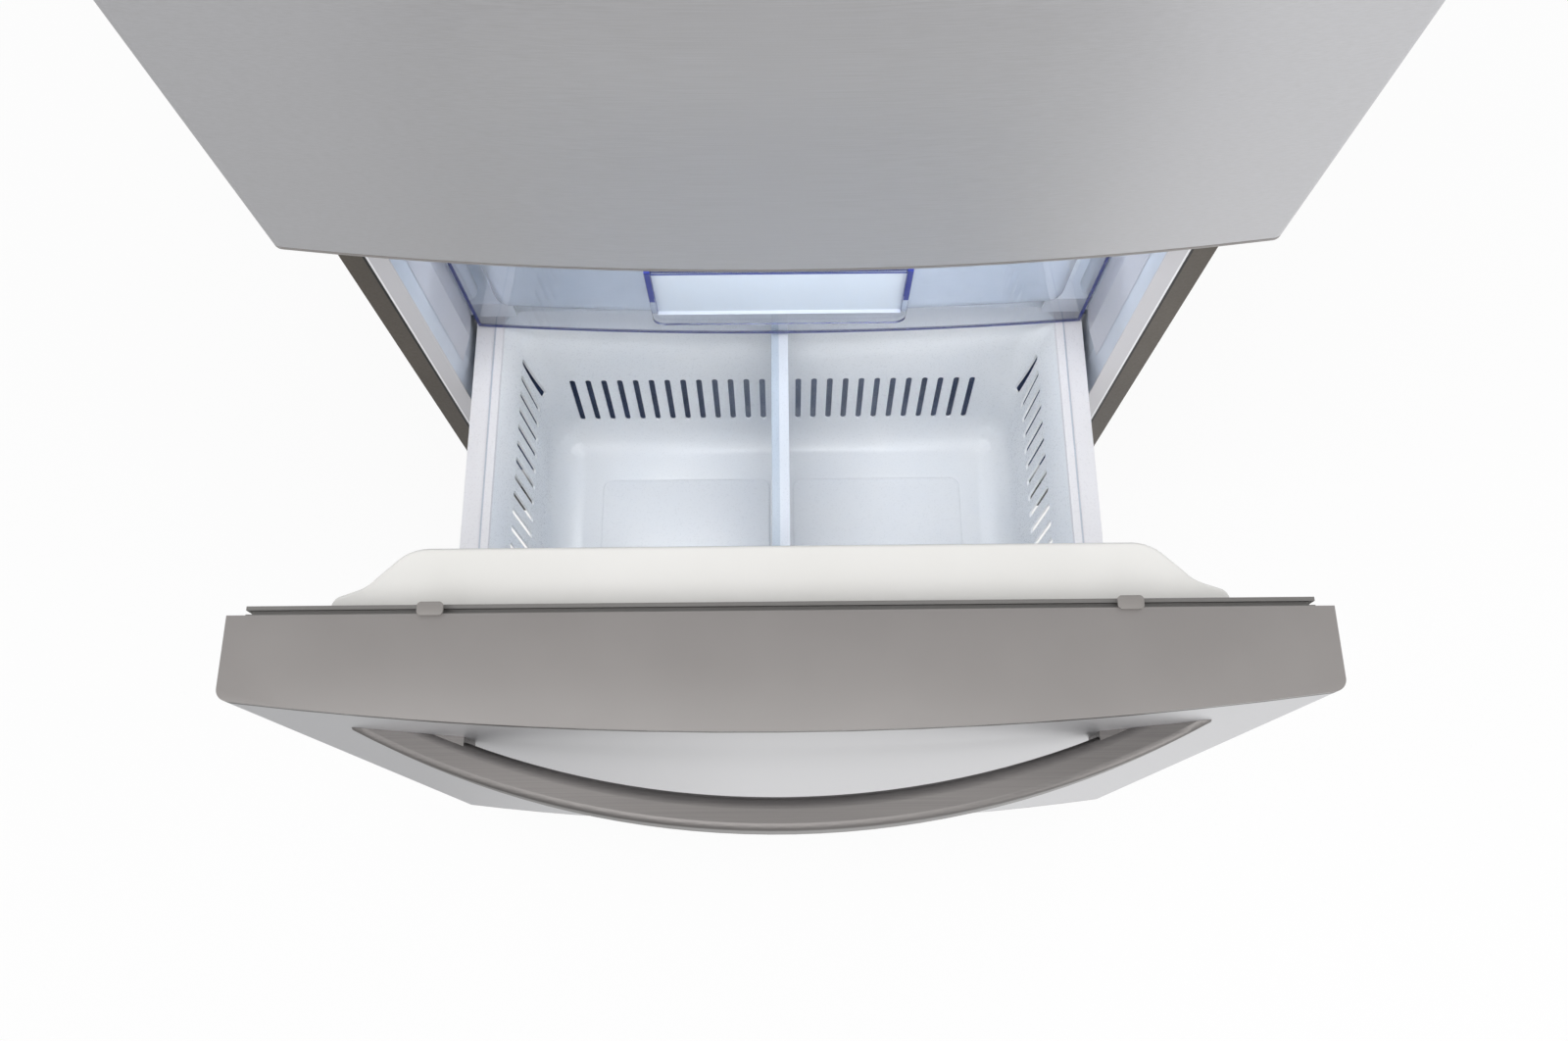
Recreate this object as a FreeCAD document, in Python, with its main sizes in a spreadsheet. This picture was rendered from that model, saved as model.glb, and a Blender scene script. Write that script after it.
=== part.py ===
import FreeCAD
import Part
import Sketcher
import math
import os

# Fridge freezer with one upper door and a pull-out freezer drawer.
# Millimetres. X is to the right seen from the front, Y goes to the back, Z is up.
# The freezer drawer is drawn pulled out; everything else is drawn closed.
# Pieces are drawn about the front plane of the cabinet, on the floor, midway across.
# Each finished piece then moves forward so that the origin lies under the middle of the whole.

Vector = FreeCAD.Vector
doc = FreeCAD.newDocument("fridge_freezer")
sheet = doc.addObject("Spreadsheet::Sheet", "sizes")
sheet_rows = []
nodes = {}
spots = {}


class Size:
    """A length that knows its value and the sheet expression it comes from."""

    def __init__(self, value, text):
        self.value = float(value)
        self.text = text

    def __add__(self, other):
        other = as_size(other)
        return Size(self.value + other.value, "(%s + %s)" % (self.text, other.text))

    def __sub__(self, other):
        other = as_size(other)
        return Size(self.value - other.value, "(%s - %s)" % (self.text, other.text))

    def __mul__(self, other):
        other = as_size(other)
        return Size(self.value * other.value, "(%s * %s)" % (self.text, other.text))

    def __truediv__(self, other):
        other = as_size(other)
        return Size(self.value / other.value, "(%s / %s)" % (self.text, other.text))

    def __radd__(self, other):
        return as_size(other) + self

    def __rsub__(self, other):
        return as_size(other) - self

    def __rmul__(self, other):
        return as_size(other) * self

    def __neg__(self):
        return Size(-self.value, "(0 - %s)" % self.text)


def as_size(amount):
    if isinstance(amount, Size):
        return amount
    if amount < 0:
        return Size(amount, "(0 - %.6g)" % -amount)
    return Size(amount, "%.6g" % amount)


def given(name, value):
    row = len(sheet_rows) + 1
    sheet_rows.append(name)
    sheet.set("A%d" % row, name)
    sheet.set("B%d" % row, "%.6g" % value)
    sheet.setAlias("B%d" % row, name)
    return Size(value, "sizes." + name)


# Cabinet
case_width = 756
case_depth = 700
case_bottom = 40
roof = 60
sheet_metal = 1.2
flange_width = 22
wall = 45
liner_skin = 2
mouth_flare = 4
mouth_depth = 30
freezer_floor = 130
freezer_ceiling = 730
mullion_height = 60
fridge_height = 875
back_wall = 60
hump_wall = 43
hump_top = 268
machine_depth = 245
machine_top = 225

# Door and drawer fronts
drawer_bottom = 82
drawer_cover = 25
door_gap = 10
door_drop = 3
panel_rear = 9
panel_edge = 67
panel_bow = 24
corner_round = 9
cap_height = 12
cap_lip = 3
seam = 0.5
gasket_width = 14
gasket_gap = 0.3
hinge_inset = 22
hinge_reach = 48
pin_radius = 5
running_fit = 0.08

# Handles
handle_radius = 682
handle_reach = 59
handle_thick = 24
handle_height = 38
handle_drop = 84
door_handle_drop = 342
grip_inset = 151
door_grip_half = 196
tip_inset = 70
door_tip_half = 271
foot_length = 34
foot_height = 34
foot_depth = 34
handle_edge = 5
handle_round = 9

# Freezer drawer
drawer_pull = 338
dike_drop = 33
dike_bottom = 140
dike_back = 48.6
dike_inset = 12.5
rim_level = 383
rim_gap = 7
rim_inset = 34.5
bead_width = 8
basket_floor = 140
basket_round = 32
basket_inset = 53.5
side_draft = 0.028
back_draft = 0.121
front_draft = 0.055
flare_height = 48
basket_front = 52
basket_rear_gap = 26.7
basket_skin = 2.5
slot_end = 35
slot_width = 6.8
slot_inset = 21.3
back_slot_low = 172
back_slot_high = 257
side_slot_low = 250
side_slot_high = 335
side_slot_back = 1.7
side_slot_front = 102.2
divider_width = 18

# Slides and anti-racking gear
slide_drop = 45
slide_front = 62
slide_rear = 138
rack_drop = 48
pinion_radius = 18
shaft_rear = 135

# Inner drawer
inner_front = 55
inner_bow = 12
inner_gap = 10
inner_rise = 4
inner_height = 173
pull_half = 131
pull_low = 29
pull_lip = 52
pull_high = 135
pull_depth = 4.5
tray_rise = 34
tray_rear = 160
tray_inset = 35
tray_round = 16

# Fridge compartment
shelf_front = 160
shelf_rear = 40
shelf_one_rise = 340
shelf_two_rise = 500
shelf_three_drop = 205
crisper_front = 150
crisper_rear = 50
crisper_height = 168
crisper_shelf_rise = 186
crisper_inset = 51
bin_low_rise = 85
bin_mid_rise = 320
bin_high_drop = 412
dairy_drop = 205
bin_depth = 92
dike_wall = 22

# Each size above becomes a cell of the sheet under its own name
for name, amount in list(globals().items()):
    if isinstance(amount, (int, float)) and not name.startswith("_"):
        globals()[name] = given(name, amount)
doc.recompute()

# Levels and places that follow from the sizes
half = case_width / 2
inside = half - wall
mouth = inside + mouth_flare
flange_edge = half - flange_width
hinge_x = half - hinge_inset
fridge_floor = freezer_ceiling + mullion_height
fridge_ceiling = fridge_floor + fridge_height
case_top = fridge_ceiling + roof
cavity_back = case_depth - back_wall
machine_front = case_depth - machine_depth
hump_front = machine_front - hump_wall
drawer_top = freezer_ceiling + drawer_cover
door_bottom = drawer_top + door_gap
door_top = case_top - door_drop
handle_level = drawer_top - handle_drop
door_handle_level = door_top - door_handle_drop
grip_half = half - grip_inset
dike_top = drawer_top - dike_drop
dike_half = inside - dike_inset
rim_half = inside - rim_gap
rim_inner = inside - rim_inset
basket_wall_half = inside - basket_inset
basket_back = hump_front - basket_rear_gap
flare_level = rim_level - flare_height
slot_pitch = (basket_wall_half - slot_end - slot_inset) / 12
side_slot_rear = basket_back + side_slot_back
side_slot_pitch = (side_slot_rear - basket_front - side_slot_front) / 12
slide_low = rim_level - slide_drop
slide_length = cavity_back - slide_front - slide_rear
rack_level = slide_low - rack_drop
shaft_place = cavity_back - shaft_rear
inner_half = inside - inner_gap
inner_low = rim_level + inner_rise
inner_high = inner_low + inner_height
tray_floor = inner_low + tray_rise
tray_back = cavity_back - tray_rear
tray_half = inside - tray_inset
shelf_back = cavity_back - shelf_rear
crisper_back = cavity_back - crisper_rear
shelf_one = fridge_floor + shelf_one_rise
shelf_two = fridge_floor + shelf_two_rise
shelf_three = fridge_ceiling - shelf_three_drop
crisper_shelf = fridge_floor + crisper_shelf_rise
bin_low = door_bottom + bin_low_rise
bin_mid = door_bottom + bin_mid_rise
bin_high = door_top - bin_high_drop
dairy_level = door_top - dairy_drop
stand_shift = (case_depth - drawer_pull - panel_edge - panel_bow - handle_reach) / 2


# Small helpers

def bind(item, path, amount):
    amount = as_size(amount)
    if "sizes." in amount.text:
        item.setExpression(path, amount.text)


def place(item, x=0, y=0, z=0):
    """Set the Placement of an object and bind it to the sheet."""
    spot = [as_size(x), as_size(y), as_size(z)]
    spots[item.Name] = spot
    item.Placement.Base = Vector(spot[0].value, spot[1].value, spot[2].value)
    for axis, amount in zip("xyz", spot):
        bind(item, "Placement.Base." + axis, amount)
    return item


def block(name, x, y, z):
    """A box between pairs of low and high coordinates."""
    box = doc.addObject("Part::Box", name)
    for prop, pair in zip(("Length", "Width", "Height"), (x, y, z)):
        extent = as_size(pair[1]) - as_size(pair[0])
        setattr(box, prop, extent.value)
        bind(box, prop, extent)
    return place(box, x[0], y[0], z[0])


def rod(name, axis, start, radius, length):
    """A cylinder from its start point along +X, +Y or +Z."""
    item = doc.addObject("Part::Cylinder", name)
    radius = as_size(radius)
    length = as_size(length)
    item.Radius = radius.value
    item.Height = length.value
    bind(item, "Radius", radius)
    bind(item, "Height", length)
    if axis == "X":
        item.Placement.Rotation = FreeCAD.Rotation(Vector(0, 1, 0), 90)
    if axis == "Y":
        item.Placement.Rotation = FreeCAD.Rotation(Vector(1, 0, 0), -90)
    return place(item, start[0], start[1], start[2])


def cut(name, base, *tools):
    tool = tools[0]
    if len(tools) > 1:
        tool = group(name + "_tools", *tools)
    item = doc.addObject("Part::Cut", name)
    item.Base = base
    item.Tool = tool
    return item


def join(name, *pieces):
    item = doc.addObject("Part::MultiFuse", name)
    item.Shapes = list(pieces)
    item.Refine = True
    return item


def group(name, *pieces):
    item = doc.addObject("Part::Compound", name)
    item.Links = list(pieces)
    return item


def mirrored(name, piece):
    item = doc.addObject("Part::Mirroring", name)
    item.Source = piece
    item.Base = Vector(0, 0, 0)
    item.Normal = Vector(1, 0, 0)
    return item


def pair(name, piece):
    """A piece and its mirror image in the middle plane, as two solids."""
    return group(name, piece, mirrored(name + "_mirror", piece))


def node(name, item):
    """A finished piece: named, and set back to the origin of the whole."""
    x, y, z = spots.get(item.Name, (0, as_size(0), 0))
    place(item, x, y - stand_shift, z)
    item.Label = name
    nodes[name] = item
    return item


def plane_of(body, plane):
    for feature in body.Origin.OriginFeatures:
        if feature.Role == plane:
            return feature
    raise ValueError(plane)


def new_body(name):
    return doc.addObject("PartDesign::Body", name)


def outline(body, name, plane, start, *loops):
    """A fully constrained sketch. A corner is (u, v) or (u, v, sagitta).

    The sagitta bends the edge to the next corner, to the left of travel when positive.
    The sketch lies at the coordinate start along the world axis across the plane.
    """
    drawing = body.newObject("Sketcher::SketchObject", name)
    drawing.AttachmentSupport = [(plane_of(body, plane), "")]
    drawing.MapMode = "FlatFace"
    offset = as_size(start)
    if plane == "XZ_Plane":
        offset = -offset
    drawing.AttachmentOffset = FreeCAD.Placement(Vector(0, 0, offset.value), FreeCAD.Rotation())
    bind(drawing, "AttachmentOffset.Base.z", offset)
    for corners in loops:
        draw_loop(drawing, corners)
    return drawing


def draw_loop(drawing, corners):
    spots = [(as_size(c[0]), as_size(c[1])) for c in corners]
    bends = [as_size(c[2]) if len(c) > 2 else None for c in corners]
    total = len(corners)
    ends = []
    for i in range(total):
        j = (i + 1) % total
        first = Vector(spots[i][0].value, spots[i][1].value, 0)
        last = Vector(spots[j][0].value, spots[j][1].value, 0)
        if bends[i] is None:
            edge = drawing.addGeometry(Part.LineSegment(first, last))
            ends.append((edge, 1, 2))
            continue
        along = last - first
        left = Vector(-along.y, along.x, 0).normalize()
        middle = (first + last) * 0.5 + left * bends[i].value
        edge = drawing.addGeometry(Part.Arc(first, middle, last))
        if (drawing.getPoint(edge, 1) - first).Length < (drawing.getPoint(edge, 2) - first).Length:
            ends.append((edge, 1, 2))
        else:
            ends.append((edge, 2, 1))
    for i in range(total):
        j = (i + 1) % total
        drawing.addConstraint(
            Sketcher.Constraint("Coincident", ends[i][0], ends[i][2], ends[j][0], ends[j][1]))
    for i in range(total):
        for kind, amount in zip(("DistanceX", "DistanceY"), spots[i]):
            mark = drawing.addConstraint(
                Sketcher.Constraint(kind, -1, 1, ends[i][0], ends[i][1], amount.value))
            bind(drawing, "Constraints[%d]" % mark, amount)
        if bends[i] is not None:
            j = (i + 1) % total
            across = spots[j][0] - spots[i][0]
            up = spots[j][1] - spots[i][1]
            sag = bends[i]
            if sag.value < 0:
                sag = -sag
            radius = ((across * across + up * up) / 4 + sag * sag) / (sag * 2)
            mark = drawing.addConstraint(Sketcher.Constraint("Radius", ends[i][0], radius.value))
            bind(drawing, "Constraints[%d]" % mark, radius)


def rounded(u, v, radius):
    """The corners of a rectangle with rounded corners, drawn anticlockwise."""
    r = as_size(radius)
    sag = r * -0.292893
    return [
        (u[0] + r, v[0]), (u[1] - r, v[0], sag), (u[1], v[0] + r), (u[1], v[1] - r, sag),
        (u[1] - r, v[1]), (u[0] + r, v[1], sag), (u[0], v[1] - r), (u[0], v[0] + r, sag)]


def sized(u0, u1):
    return (as_size(u0), as_size(u1))


def pad(body, name, drawing, length):
    """A pad from its sketch towards the positive world axis."""
    item = body.newObject("PartDesign::Pad", name)
    item.Profile = drawing
    length = as_size(length)
    item.Length = length.value
    bind(item, "Length", length)
    if "XZ" in drawing.AttachmentSupport[0][0].Role:
        item.Reversed = True
    drawing.Visibility = False
    return item


def prism(name, plane, start, end, *loops):
    body = new_body(name)
    drawing = outline(body, name + "_outline", plane, start, *loops)
    pad(body, name + "_pad", drawing, as_size(end) - as_size(start))
    return body


def turned(name, corners, angle=360, plane="XZ_Plane"):
    """A solid of revolution about the upright axis of its own origin."""
    body = new_body(name)
    drawing = outline(body, name + "_outline", plane, 0, corners)
    item = body.newObject("PartDesign::Revolution", name + "_turn")
    item.Profile = drawing
    item.ReferenceAxis = (drawing, ["V_Axis"])
    item.Angle = angle
    if angle < 360:
        item.Midplane = True
    return body


def round_edges(body, name, radius, test):
    """Fillet the edges of the body's last feature that pass a test on their end points."""
    doc.recompute()
    tip = body.Tip
    picked = []
    for i, edge in enumerate(tip.Shape.Edges):
        ends = [v.Point for v in edge.Vertexes]
        if len(ends) == 2 and test(ends[0], ends[1]):
            picked.append("Edge%d" % (i + 1))
    item = body.newObject("PartDesign::Fillet", name)
    item.Base = (tip, picked)
    radius = as_size(radius)
    item.Radius = radius.value
    bind(item, "Radius", radius)
    return item


def upright(a, b):
    return abs(a.x - b.x) < 1e-6 and abs(a.y - b.y) < 1e-6


def ring(name, x, z, width, y):
    """A rectangular frame of one width, lying in an upright plane."""
    outer = block(name + "_outer", x, y, z)
    inner = block(
        name + "_inner", (x[0] + width, x[1] - width), (y[0] - 1, y[1] + 1),
        (z[0] + width, z[1] - width))
    return cut(name, outer, inner)


# Cabinet shells

def cavity(name, floor, ceiling, grow):
    """The space inside one liner, with its mouth flared at the sides."""
    side = inside + grow
    lip = mouth + grow
    back = cavity_back + grow
    body = prism(name, "XY_Plane", floor - grow, ceiling + grow, [
        (-lip, 0), (lip, 0), (side, mouth_depth), (side, back), (-side, back), (-side, mouth_depth)])
    round_edges(body, name + "_round", as_size(16) + grow,
                lambda a, b: upright(a, b) and abs(a.y - back.value) < 1e-6)
    return body


def freezer_cavity(name, grow):
    whole = cavity(name + "_whole", freezer_floor, freezer_ceiling, grow)
    hump = block(
        name + "_hump", (-half, half), (hump_front + grow, case_depth),
        (0, hump_top - grow))
    return cut(name, whole, hump)


def make_cabinet_shell():
    skin = liner_skin
    fridge_space = cavity("fridge_space", fridge_floor, fridge_ceiling, as_size(0))
    fridge_shell = cavity("fridge_shell", fridge_floor, fridge_ceiling, skin)
    freezer_space = freezer_cavity("freezer_space", as_size(0))
    freezer_shell = freezer_cavity("freezer_shell", skin)
    passage = block(
        "air_passage", (-70, 70), (cavity_back - 46, cavity_back - 16),
        (freezer_ceiling - 5, fridge_floor + 5))

    # Painted steel wrap: two sides and the top, with a folded front flange
    wrap = block("wrap", (-half, half), (0, case_depth - sheet_metal), (case_bottom, case_top))
    hollow = block(
        "wrap_hollow", (sheet_metal - half, half - sheet_metal), (sheet_metal, case_depth),
        (0, case_top - sheet_metal))
    front = block(
        "wrap_front", (-flange_edge, flange_edge), (-5, sheet_metal * 2),
        (0, case_top - flange_width))
    node("outer_case", cut("outer_case", cut("wrap_open", wrap, hollow), front))

    node("back_panel", block(
        "back_panel", (-half, half), (case_depth - sheet_metal, case_depth),
        (machine_top + 8, case_top)))

    # Foam between the steel and the liners
    foam = block(
        "foam", (sheet_metal - half, half - sheet_metal), (sheet_metal, case_depth - sheet_metal),
        (case_bottom, case_top - sheet_metal))
    machine = block(
        "machine_space", (14 - half, half - 14), (machine_front, case_depth), (0, machine_top))
    foam_cut = cut("foam_cut", foam, fridge_shell, freezer_shell, machine)
    node("insulation", cut("insulation", foam_cut, passage))

    # Liners with front flanges
    flange = block(
        "fridge_flange", (-flange_edge, flange_edge), (0, sheet_metal),
        (fridge_floor - skin, case_top - flange_width))
    shell = join("fridge_liner_solid", fridge_shell, flange)
    open_shell = cut("fridge_liner_open", shell, fridge_space)
    rests = []
    for i, level in enumerate((shelf_one, shelf_two, shelf_three, crisper_shelf)):
        strip = block(
            "rest_%d" % i, (inside - 16, inside + 1), (shelf_front + 17, shelf_back - 17),
            (level - 12, level))
        rests.append(strip)
        rests.append(mirrored("rest_left_%d" % i, strip))
    ribbed = join("fridge_liner_ribbed", open_shell, *rests)
    node("fridge_liner", cut("fridge_liner", ribbed, passage))
    flange = block(
        "freezer_flange", (-flange_edge, flange_edge), (0, sheet_metal),
        (freezer_floor - flange_width, freezer_ceiling + skin))
    shell = join("freezer_liner_solid", freezer_shell, flange)
    open_shell = cut("freezer_liner_open", shell, freezer_space)
    node("freezer_liner", cut("freezer_liner", open_shell, passage))

    node("mullion_rail", block(
        "mullion_rail", (-flange_edge, flange_edge), (0, sheet_metal),
        (freezer_ceiling + skin, fridge_floor - skin)))


def make_base():
    # Welded steel base: deck, side skirts, front upstand, leg nuts and roller brackets
    deck = case_bottom - 3
    tray = block("base_deck", (2 - half, half - 2), (0, case_depth - 12), (deck, case_bottom))
    rail = block(
        "base_upstand", (-flange_edge, flange_edge), (0, sheet_metal),
        (deck, freezer_floor - flange_width))
    skirt = block("base_skirt", (half - 5, half - 2), (24, case_depth - 12), (deck - 16, deck))
    spot_x = half - 48
    nut = block("leg_nut", (spot_x - 18, spot_x + 18), (26, 62), (deck - 14, deck))
    hole = rod("leg_hole", "Z", (spot_x, 44, 0), 6 + running_fit, deck)
    nut = cut("leg_nut_bored", nut, hole)
    axle_y = case_depth - 70
    roll_x = half - 60
    deep = (axle_y - 16, axle_y + 16)
    cheek = block("roller_cheek", (roll_x - 17, roll_x - 14), deep, (9, deck))
    far = block("roller_cheek_far", (roll_x + 14, roll_x + 17), deep, (9, deck))
    axle = rod("roller_axle", "X", (roll_x - 19, axle_y, 16), 4, 38)
    right = [skirt, nut, cheek, far, axle]
    left = [mirrored(piece.Name + "_left", piece) for piece in right]
    node("base_frame", join("base_frame", tray, rail, *(right + left)))

    # Snap-in kick grille with upright slots
    top = drawer_bottom - 10
    bar = block("grille_bar", (8 - half, half - 8), (-10, -0.2), (8, top))
    lug = block("grille_lug", (half - 110, half - 90), (-2, 40), (deck - 10, deck))
    solid = join("grille_solid", bar, lug, mirrored("grille_lug_left", lug))
    gaps = []
    for i in range(22):
        x = (as_size(i) - 10.5) * 30
        gaps.append(block("grille_gap_%d" % i, (x - 9, x + 9), (-15, -2.5), (16, top - 8)))
    node("kick_grille", cut("kick_grille", solid, *gaps))

    # Front levelling legs and rear rollers
    for side, name in ((1, "leg_right"), (-1, "leg_left")):
        foot = turned(name + "_foot", [
            (0, 0), (17, 0), (19, 2), (19, 6), (11, 9), (11, 16), (6, 16), (6, deck - 1), (0, deck - 1)])
        node(name, place(foot, spot_x * side, 44, 0))
    hub = 4 + running_fit
    for side, name in ((1, "roller_right"), (-1, "roller_left")):
        wheel = turned(name + "_wheel", [
            (hub, -12), (8, -12), (9, -10), (14, -10), (16, -8), (16, 8), (14, 10), (9, 10), (8, 12),
            (hub, 12)])
        wheel.Placement.Rotation = FreeCAD.Rotation(Vector(0, 1, 0), 90)
        node(name, place(wheel, roll_x * side, axle_y, 16))


def make_hinges():
    # Upper hinge: a flat steel arm with a pin that points down
    top = case_top
    arm = prism("upper_arm", "XY_Plane", top, top + 4, [
        (hinge_x - 34, 96), (hinge_x - 34, 4), (hinge_x - 14, -hinge_reach - 4),
        (hinge_x - 2, -hinge_reach - 12), (hinge_x + 10, -hinge_reach - 4), (hinge_x + 14, 4),
        (hinge_x + 14, 96)])
    pin = rod(
        "upper_pin", "Z", (hinge_x, -hinge_reach, door_top - 24), pin_radius, top + 26 - door_top)
    node("upper_hinge", join("upper_hinge", arm, pin))
    x = (hinge_x - 40, hinge_x + 18)
    shell = prism("cover_shell", "XY_Plane", top, top + 25, rounded(
        x, (-hinge_reach - 16, as_size(106)), 8))
    round_edges(shell, "cover_edge", 6, lambda a, b: a.z > top.value + 20 and b.z > top.value + 20)
    room = block(
        "cover_room", (x[0] + 2.5, x[1] - 2.5), (-hinge_reach - 13.5, as_size(103.5)),
        (top - 1, top + 20))
    node("hinge_cover", cut("hinge_cover", shell, room))

    # Middle hinge: an angle bracket on the mullion with a pin that points up
    level = door_bottom - 8
    face = block("middle_face", (hinge_x - 36, hinge_x - 2), (-3, 0), (level - 9, level + 15))
    arm = prism("middle_arm", "XY_Plane", level, level + 5, [
        (hinge_x - 36, 0), (hinge_x - 36, -8), (hinge_x - 12, -hinge_reach - 8),
        (hinge_x + 9, -hinge_reach - 8), (hinge_x + 9, -12), (hinge_x - 2, 0)])
    pin = rod("middle_pin", "Z", (hinge_x, -hinge_reach, level + 2), pin_radius, 30)
    node("middle_hinge", join("middle_hinge", face, arm, pin))


def fan(name, radius, count, depth):
    """A moulded axial fan about its own upright axis."""
    hub = rod(name + "_hub", "Z", (0, 0, -depth / 2.0), 15, depth)
    blades = []
    for i in range(count):
        blade = block("%s_blade_%d" % (name, i), (-11, 11), (10, radius), (-0.9, 0.9))
        turn = FreeCAD.Rotation(Vector(0, 0, 1), 360.0 * i / count)
        tilt = FreeCAD.Rotation(Vector(0, 1, 0), 32)
        start = Vector(-11, 10, -0.9)
        blade.Placement = FreeCAD.Placement(turn.multVec(tilt.multVec(start)), turn.multiply(tilt))
        blade.setExpression("Placement.Base.x", None)
        blade.setExpression("Placement.Base.y", None)
        blade.setExpression("Placement.Base.z", None)
        blades.append(blade)
    return join(name + "_wheel", hub, *blades)


def serpentine(name, x, y, levels, tube, fins, fin_y):
    """A tube that runs to and fro across X and climbs, with thin plates pressed on it."""
    pieces = []
    for i, z in enumerate(levels):
        pieces.append(rod("%s_run_%d" % (name, i), "X", (x[0], y, z), tube, as_size(x[1]) - x[0]))
    for i in range(len(levels) - 1):
        bend = doc.addObject("Part::Torus", "%s_bend_%d" % (name, i))
        bend.Radius1 = (levels[i + 1].value - levels[i].value) / 2
        bind(bend, "Radius1", (levels[i + 1] - levels[i]) / 2)
        bend.Radius2 = tube
        bend.Angle3 = 180
        turn = FreeCAD.Rotation(Vector(1, 0, 0), 90)
        spin = FreeCAD.Rotation(Vector(0, 1, 0), 90 if i % 2 == 0 else -90)
        bend.Placement.Rotation = spin.multiply(turn)
        place(bend, x[1] if i % 2 == 0 else x[0], y, (levels[i] + levels[i + 1]) / 2)
        pieces.append(bend)
    low = levels[0] - 10
    high = levels[-1] + 10
    gap = (as_size(x[1]) - x[0] - 24) / (fins - 1)
    for i in range(fins):
        left = x[0] + 12 + gap * i - 0.3
        pieces.append(block("%s_fin_%d" % (name, i), (left, left + 0.8), fin_y, (low, high)))
    return join(name, *pieces)


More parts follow.
